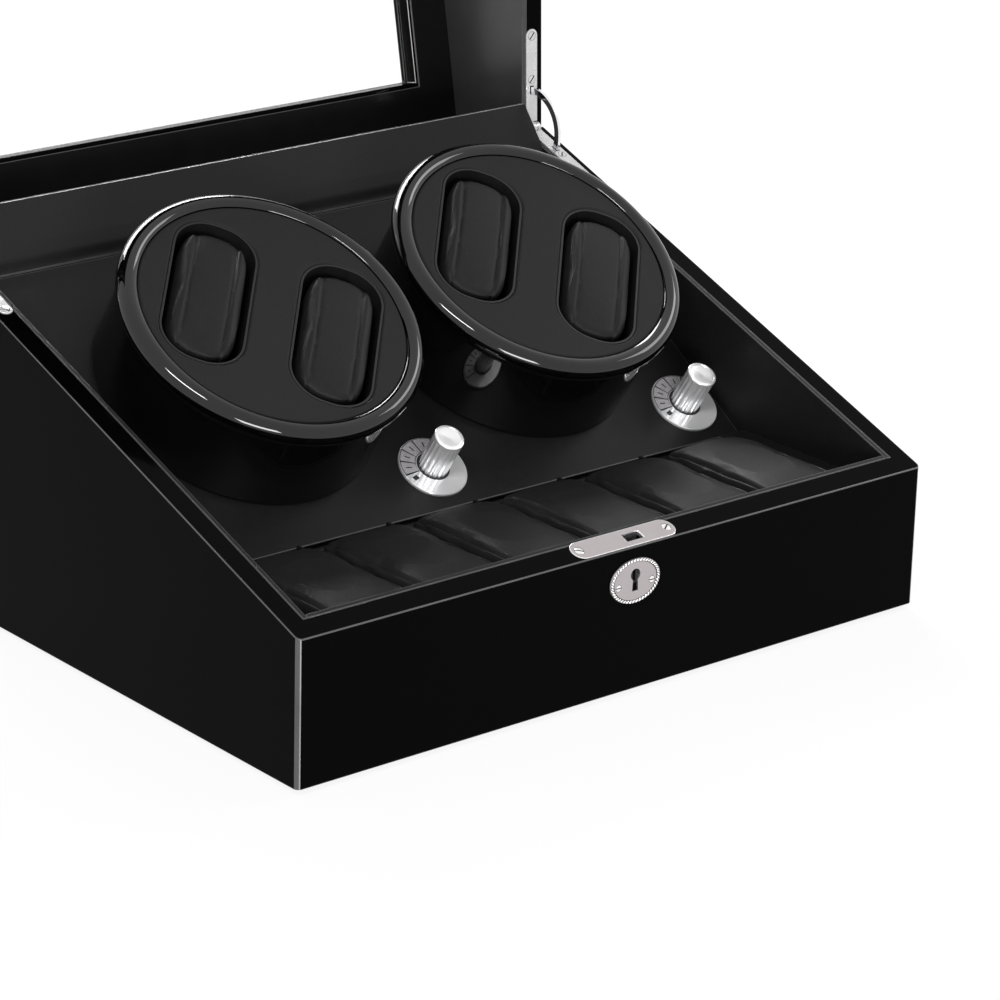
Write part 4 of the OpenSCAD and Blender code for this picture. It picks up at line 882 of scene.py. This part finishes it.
def makeKnob():
    r, e, waist = knob["radius"], knob["edge"], knob["waist"]
    mid = knob["edgeMid"] * e
    skirtZ, capZ = knobLow + knob["skirt"], knobHigh - knob["cap"]
    lipOut, lipIn, faceIn = (r - step for step in knob["lip"])
    cap = spun("knob", [
        (0, knobLow), (r - e, knobLow), (r, knobLow + e), (r, skirtZ), (r - waist, skirtZ + waist),
        (r - waist, capZ - waist), (r, capZ), (r, knobHigh - e), (r - mid, knobHigh - mid),
        (r - e, knobHigh), (lipOut, knobHigh), (lipIn, knobHigh - knob["lipSink"]),
        *turnedFace(faceIn, knobHigh - knob["faceSink"])], steps=4 * knob["ridges"])
    for vertex in cap.data.vertices:
        turn = math.degrees(math.atan2(vertex.co.y, vertex.co.x)) % 360
        inWaist = waist / 2 < r - vertex.co.xy.length < 2 * waist and skirtZ + waist / 2 < vertex.co.z < capZ
        if inWaist and round(turn * knob["ridges"] / 90) % 4 > 1:
            inward = 1 - knob["ridgeDepth"] / r
            vertex.co = (vertex.co.x * inward, vertex.co.y * inward, vertex.co.z)
    return cap


def makeDials():
    e, top, out = dial["edge"], dial["thick"], dial["radius"]
    plate = spun("dial", [(dial["hole"], 0), (out, 0), (out, top - e), (out - e, top), (dial["hole"], top)],
                 steps=96, closed=True)
    cells = []
    marks = []
    z0, z1 = top - dial["root"], top + dial["cellRise"]
    r0, r1, gap, border = (dial[key] for key in ("cellIn", "cellOut", "cellGap", "frame"))
    tickIn, tickOut, half = dial["tick"]
    for start, end in zip(dial["cells"], dial["cells"][1:]):
        a, b = start + gap / 2, end - gap / 2
        cells.append(squareRing("cell", r0, r1, z0, z1, steps=10, start=a, turn=b - a))
        marks.append(squareRing("frame", r0 - border, r1 + border, z0, z0 + dial["frameRise"],
                                steps=12, start=a - gap, turn=b - a + 2 * gap))
        tick = boxBetween("tick", (tickIn, -half, z1 - dial["root"]), (tickOut, half, z1 + dial["tickRise"]))
        marks.append(place(tick, swivel((a + b) / 2)))
    # A dark ring painted on the plate round the knob's foot, as painted shade under the knob.
    shadeRingIn, shadeRingOver = dial["knobShadeRing"]
    marks.append(squareRing("knobShadeRing", shadeRingIn, knob["radius"] + shadeRingOver, z0, z1, steps=48))
    dotIn, dotOut, half = dial["dot"]
    marks.append(place(boxBetween("tick", (dotIn, -half, z0), (dotOut, half, z1)), swivel(dial["dotAt"])))
    cell = joined("cells", *cells)
    mark = joined("marks", *marks)
    cap = makeKnob()
    for side in ("left", "right"):
        spot = onDeck(side + "_knob_turn")
        finishPiece(twin(plate, side + "DialPlate", spot), "case", "chrome", dialChrome, "dial_plates")
        finishPiece(twin(cell, side + "DialCells", spot), "case", "chrome", etchedChrome)
        finishPiece(twin(mark, side + "DialMarks", spot), "case", "chrome", darkPaint)
        turning = side + "_knob"
        finishPiece(twin(cap, side + "Knob", spot), turning + "_body", "chrome", turnedChrome, turning)
    discard(plate, cell, mark, cap)


makeDials()
print("dials made")


escutcheon = {"screw": (0.0102, -0.0016), "screwScale": 0.72, "screwRoom": 0.0018, "groove": (0.85, 0.965),
              "outline": [(0.0005, 0), (0.985, 0), (1.0, 0.35), (0.985, 0.7), (0.97, 0.7), (0.965, 0.3),
                          (0.85, 0.3), (0.845, 0.66), (0.80, 0.62), (0.0005, 0.62)]}
keyhole = {"radius": 0.0029, "width": 0.0036, "length": 0.008, "neck": 0.75}
rope = {"strands": 46, "at": 0.925, "size": (0.0011, 0.00048, 0.0008), "lay": 42, "rise": 0.6}
screw = {"radius": 0.0022, "taper": 0.0006, "depth": 0.0009, "slot": 0.0007, "slotDepth": 0.0004,
         "room": 0.0002, "dome": 0.0003, "domeShape": [(0.7, 0.6), (0.35, 1), (0, 1.05)]}


def screwHead(matrix, metal, dome=screw["dome"]):
    r, d, half, low = screw["radius"], screw["depth"], screw["slot"] / 2, -screw["slotDepth"]
    domed = [(r * across, dome * up) for across, up in screw["domeShape"]]
    head = spun("head", [(0, -d), (r - screw["taper"], -d), (r, 0), *domed], steps=32)
    giveSlots(head, metal, darkPaint)
    cutOut(head, centred("cutter", 2 * r, half, low, r))
    # The slot's faces are painted dark as painted shade.
    for face in head.data.polygons:
        inSlot = abs(face.center.y) < half + near and face.center.z > low - near
        face.material_index = 1 if inSlot else 0
    return place(head, matrix)


def makeLockPlate():
    spot = onRim(lockPlate["x"], lockPlate["y"])
    top, width = lockPlate["proud"], lockPlate["width"]
    plate = roundedBlock("lockPlate", lockPlate["length"], width, width / 2 - lockPlate["play"],
                         top - lockPlate["thick"], top, 12)
    slotX, (length, across) = lockPlate["slotX"], lockPlate["slot"]
    cutOut(plate, boxBetween("cutter", (slotX - length / 2, -across / 2, -beyond),
                             (slotX + length / 2, across / 2, beyond)))
    giveSlots(plate, nickel, polishedNickel)
    roundOff(plate, lockPlate["arris"], finishIndex=1)
    heads = []
    for side in (-1, 1):
        at = side * lockPlate["screw"]
        drill(plate, screw["radius"] + screw["room"], shift(at, 0, 0), steps=32)
        turned = swivel(lockPlate["screwTurn"] * side)
        heads.append(screwHead(spot @ shift(at, 0, top - lockPlate["play"]) @ turned, polishedNickel))
    finishPiece(place(plate, spot), "case", "nickel", None, "lock_plate")
    return heads


def makeRope(a, b, z):
    strands = []
    for i in range(rope["strands"]):
        turn = 2 * math.pi * i / rope["strands"]
        x, y = a * math.cos(turn), b * math.sin(turn)
        along = math.atan2(b * math.cos(turn), -a * math.sin(turn))
        only(None)
        bpy.ops.mesh.primitive_uv_sphere_add(segments=10, ring_count=6, radius=1)
        strand = bpy.context.object
        strand.scale = rope["size"]
        strand.rotation_euler.z = along + math.radians(rope["lay"])
        strand.location = (rope["at"] * x, rope["at"] * y, z)
        strands.append(settle(strand, "strand"))
    return joined("escutcheonRope", *strands)


def makeEscutcheon():
    low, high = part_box("escutcheon")
    middle = (low + high) / 2
    upright = shift(middle.x, high.y, middle.z) @ swivel(90, "X")
    thick = high.y - low.y
    a, b = (high.x - low.x) / 2, (high.z - low.z) / 2
    shape = [(r, share * thick) for r, share in escutcheon["outline"]]
    oval = spun("escutcheon", shape, steps=96, closed=True)
    giveSlots(oval, nickel, darkPaint)
    grooveIn, grooveOut = escutcheon["groove"]
    # The groove under the rope is painted dark as painted shade between the strands.
    for face in oval.data.polygons:
        inGroove = grooveIn < face.center.xy.length < grooveOut and face.center.z > 0
        face.material_index = 1 if inGroove else 0
    for vertex in oval.data.vertices:
        vertex.co.x *= a
        vertex.co.y *= b
    keyLow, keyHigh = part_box("key_core")
    key = (keyLow + keyHigh) / 2 - middle
    keyAt = shift(key.x, key.z, 0)
    drill(oval, keyhole["radius"], keyAt, steps=40)
    half = keyhole["width"] / 2
    flare = boxBetween("cutter", (-half, -keyhole["length"], -beyond), (half, 0, beyond))
    for vertex in flare.data.vertices:
        if vertex.co.y > -near:
            vertex.co.x *= keyhole["neck"]
    cutOut(oval, place(flare, keyAt))
    heads = []
    x, y = escutcheon["screw"]
    for side in (-1, 1):
        drill(oval, escutcheon["screwRoom"], shift(side * x, y, 0), steps=32)
        at = upright @ shift(side * x, y, shape[-1][1]) @ Matrix.Scale(escutcheon["screwScale"], 4)
        heads.append(screwHead(at, polishedNickel))
    cord = makeRope(a, b, rope["rise"] * thick)
    finishPiece(place(oval, upright), "case", "nickel", None, "escutcheon", smooth=30)
    finishPiece(place(cord, upright), "case", "nickel", polishedNickel, smooth=60, weighted=False)
    return heads


def makeStrike():
    body = roundedBlock("lidStrike", strike["length"], strike["width"], strike["width"] / 2 - strike["play"],
                        leafFace, leafFace + strike["thick"], 12)
    roundOff(body, strike["arris"])
    x, y = strike["tongue"]
    tongue = centred("tongue", x, y, strike["tip"], leafFace + strike["root"])
    z0, z1 = strike["notch"]
    cutOut(tongue, boxBetween("cutter", (-2 * x, -2 * y, z0), (0, 2 * y, z1)))
    roundOff(tongue, strike["arris"])
    spot = onRim(lockPlate["x"] + lockPlate["slotX"], lockPlate["y"])
    piece = place(joined("lidStrike", body, tongue), lidSwing @ spot)
    finishPiece(piece, "lid", "nickel", nickel, "lid_strike")


def makeLock():
    heads = makeLockPlate() + makeEscutcheon()
    finishPiece(joined("lockScrewHeads", *heads), "case", "nickel", None, "lock_screws")
    makeStrike()


def makeLeaf(side, name, body, z0, length, swing, screws, face):
    # One leaf with its knuckles and screws; the case has the outer two knuckles and the lid the middle one.
    half, third, k, e = leaf["width"] / 2, leaf["width"] / 3, leaf["knuckle"], leaf["rib"]
    at = shift(side * leafX, pin.y, pin.z)
    plate = leafBlank("leaf", length, k + 2 * leaf["gap"], z0, z0 + leaf["thick"], half)
    roundOff(plate, leaf["arris"])
    plate = place(plate, at @ rimTilt)
    cutOut(plate, ringSector("cutter", side * leafX, *stayRoom, *leaf["stayGap"], 12))
    heads = []
    for y in screws:
        headAt = at @ rimTilt @ shift(0, -y, face) @ swivel(0 if body == "case" else 180, "X")
        drill(plate, screw["radius"] + screw["room"], headAt, -k, k, 32)
        heads.append(screwHead(headAt @ swivel(leaf["screwTurn"] * side), hingeNickel, leaf["screwDome"]))
    head = joined(name + "HingeScrews" + body.title(), *heads)
    spans = [(-third / 2, third / 2)]
    if body == "case":
        spans = [(-half, -third / 2 - leaf["gap"]), (third / 2 + leaf["gap"], half)]
    knuckles = []
    webs = []
    webOut, webIn = leaf["web"]
    for x0, x1 in spans:
        knuckle = spun("knuckle", [(k * leaf["bore"], x0), (k - e, x0), (k, x0 + e), (k, x1 - e), (k - e, x1),
                                   (k * leaf["bore"], x1)], steps=40, closed=True)
        knuckles.append(place(knuckle, at @ swivel(90, "Y")))
        web = boxBetween("web", (x0, -k - webOut, z0), (x1, -webIn, z0 + leaf["thick"]))
        webs.append(place(web, at @ rimTilt))
    plate = joined(name + "Leaf" + body.title(), plate, *knuckles, *webs)
    for piece in (plate, head):
        place(piece, swing)
    finishPiece(plate, body, "chrome", hingeNickel, body + "_hinge_leaves")
    finishPiece(head, body, "chrome", None, body + "_hinge_screws")


def makeHinges():
    sink = leaf["proud"] - leaf["thick"]
    for side, name in ((-1, "left"), (1, "right")):
        makeLeaf(side, name, "case", sink, leaf["case"], Matrix(), leaf["screws"], leaf["proud"])
        makeLeaf(side, name, "lid", leafFace, leaf["lid"], lidSwing, leaf["lidScrews"], leafFace)
        bow = ringSector(name + "LidStay", side * leafX, stay["inner"], stay["outer"], stay["thick"],
                         stay["from"], stay["to"], 60)
        roundOff(bow, stay["arris"], angle=50)
        finishPiece(bow, "stays", "chrome", chrome, "lid_stays")


feet = {"radius": 0.006, "bore": 0.0024, "round": [(0.0006, 0.0), (0.0002, 0.0003), (0.0, 0.0009)]}


def makeFeet():
    low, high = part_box("feet")
    r, h = feet["radius"], high.z - low.z
    foot = spun("foot", [(feet["bore"], 0.0), *[(r - back, z) for back, z in feet["round"]], (r, h),
                         (feet["bore"], h)], steps=40, closed=True)
    for i, (sx, sy) in enumerate(((-1, -1), (1, -1), (-1, 1), (1, 1))):
        at = shift(sx * (high.x - r), sy * (high.y - r), low.z)
        finishPiece(twin(foot, f"foot{i + 1}", at), "case", "rubber", rubber, "feet")
    discard(foot)


strip = {"thick": 0.0012, "steps": 40, "dip": 0.0028, "dipEnd": 0.26, "edge": 0.0007, "over": 0.0006,
         "blend": 0.55}


def makeStrip():
    # The leather strip over the hinge gap, from the deck's rear edge to the open lid's lining.
    low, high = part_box("hinge_strip")
    places = [v.co for v in nodes["hinge_strip"].data.vertices]
    foot = min(places, key=lambda p: p.z)
    tip = max(places, key=lambda p: p.y)
    middle = Vector((innerY - strip["over"], rimZ(innerY) + strip["over"]))
    only(None)
    bpy.ops.mesh.primitive_grid_add(x_subdivisions=strip["steps"], y_subdivisions=strip["steps"], size=1)
    obj = settle(bpy.context.object, "hingeStrip")
    first = Vector((foot.y, foot.z))
    last = Vector((tip.y, tip.z))
    for vertex in obj.data.vertices:
        t = vertex.co.y + 0.5
        bow = first.lerp(middle, t).lerp(middle.lerp(last, t), t)
        bend = first.lerp(middle, 2 * t) if t < 0.5 else middle.lerp(last, 2 * t - 1)
        spot = bow.lerp(bend, strip["blend"])
        dip = strip["dip"] * math.sin(math.pi * min(1, t / strip["dipEnd"]))
        vertex.co = (vertex.co.x * (high.x - low.x), spot.x - deckNormal.y * dip, spot.y - deckNormal.z * dip)
    # The strip's rim faces take the painted arris highlight.
    giveSlots(obj, padLeather, liningArris)
    applyModifier(obj, "SOLIDIFY", thickness=strip["thick"], offset=1, material_offset_rim=1)
    only(obj)
    bpy.ops.object.mode_set(mode="EDIT")
    bpy.ops.mesh.select_all(action="SELECT")
    bpy.ops.mesh.normals_make_consistent(inside=False)
    bpy.ops.object.mode_set(mode="OBJECT")
    bpy.ops.object.shade_smooth_by_angle(angle=math.radians(50))
    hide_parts("hinge_strip")
    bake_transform(obj)
    # A thin rod along the strip's top edge carries a painted highlight line.
    edge = rodAlongX("stripEdge", strip["edge"], low.x, high.x, 16)
    place(edge, shift(0, last.x, last.y))
    finishPiece(edge, "lid", "pad_leather", paintedHighlightLine)


makeLock()
makeHinges()
makeFeet()
makeStrip()
print("lock, hinges, feet and strip made")


stageLook = {"floor": 6.0, "floorColour": (0.9, 0.9, 0.9, 1), "floorRough": 0.8, "floorGlow": 0.9,
             "worldSoft": 0.45, "white": (1, 1, 1, 1)}


def plainlySeen(tree):
    # One for rays from the camera, off a gloss or through glass, and nought for the light on the object.
    path = tree.nodes.new("ShaderNodeLightPath")
    seen = path.outputs["Is Camera Ray"]
    for kind in ("Is Glossy Ray", "Is Transmission Ray"):
        either = tree.nodes.new("ShaderNodeMath")
        either.operation = "MAXIMUM"
        tree.links.new(seen, either.inputs[0])
        tree.links.new(path.outputs[kind], either.inputs[1])
        seen = either.outputs[0]
    return seen


def mixedOut(tree, share, usual, white, out):
    mix = tree.nodes.new("ShaderNodeMixShader")
    tree.links.new(share, mix.inputs["Fac"])
    tree.links.new(usual, mix.inputs[1])
    tree.links.new(white, mix.inputs[2])
    tree.links.new(mix.outputs["Shader"], tree.nodes[out].inputs["Surface"])


def paleGround():
    only(None)
    bpy.ops.mesh.primitive_plane_add(size=stageLook["floor"], location=(0, 0, 0))
    floor = bpy.context.object
    floor.name = "floor"
    material = bpy.data.materials.new("paleFloor")
    material.use_nodes = True
    tree = material.node_tree
    shader = tree.nodes["Principled BSDF"]
    shader.inputs["Base Color"].default_value = stageLook["floorColour"]
    shader.inputs["Roughness"].default_value = stageLook["floorRough"]
    glow = tree.nodes.new("ShaderNodeEmission")
    glow.inputs["Strength"].default_value = 1
    share = tree.nodes.new("ShaderNodeMath")
    share.operation = "MULTIPLY"
    share.inputs[1].default_value = stageLook["floorGlow"]
    tree.links.new(plainlySeen(tree), share.inputs[0])
    mixedOut(tree, share.outputs[0], shader.outputs["BSDF"], glow.outputs["Emission"], "Material Output")
    floor.data.materials.append(material)


def paleWorld():
    world = bpy.data.worlds.new("paleWorld")
    bpy.context.scene.world = world
    world.use_nodes = True
    tree = world.node_tree
    soft = tree.nodes["Background"]
    white = tree.nodes.new("ShaderNodeBackground")
    for light, strength in ((soft, stageLook["worldSoft"]), (white, 1)):
        light.inputs["Color"].default_value = stageLook["white"]
        light.inputs["Strength"].default_value = strength
    mixedOut(tree, plainlySeen(tree), soft.outputs["Background"], white.outputs["Background"], "World Output")


lamps = {
    "key": {"place": (-1.2, -0.9, 1.6), "size": (0.9, 0.2), "power": 22},
    "back": {"place": (0.45, 1.35, 1.15), "size": (1.3, 0.7), "power": 36},
    "side": {"place": (1.5, -0.4, 1.2), "size": (0.8, 0.5), "power": 6},
    "low": {"place": (-0.66, -1.42, 0.2), "size": (0.7, 0.34), "power": 14},
}
lampsAimAt = Vector((0, 0, 0.12))


def softLamps():
    for name, look in lamps.items():
        only(None)
        bpy.ops.object.light_add(type="AREA", location=look["place"])
        lamp = bpy.context.object
        lamp.name = name + "Lamp"
        lamp.data.shape = "RECTANGLE"
        lamp.data.size, lamp.data.size_y = look["size"]
        lamp.data.energy = look["power"]
        aim = lampsAimAt - Vector(look["place"])
        lamp.rotation_euler = aim.to_track_quat("-Z", "Y").to_euler()


camera = {"place": (-1.19955, -1.47582, 0.75988), "forward": (0.60440, 0.71695, -0.34739),
          "right": (0.77029, -0.63720, 0.02510), "lens": 149.9}


def addCamera():
    only(None)
    bpy.ops.object.camera_add(location=camera["place"])
    view = bpy.context.object
    forward, right = Vector(camera["forward"]).normalized(), Vector(camera["right"]).normalized()
    up = right.cross(forward)
    turn = Matrix((right, up, -forward)).transposed()
    view.rotation_euler = turn.to_euler()
    view.data.lens = camera["lens"]
    view.data.sensor_width = 36
    view.data.clip_end = 20
    bpy.context.scene.camera = view


paleGround()
paleWorld()
softLamps()
addCamera()
bpy.context.scene.view_settings.view_transform = "Standard"
print("stage set")
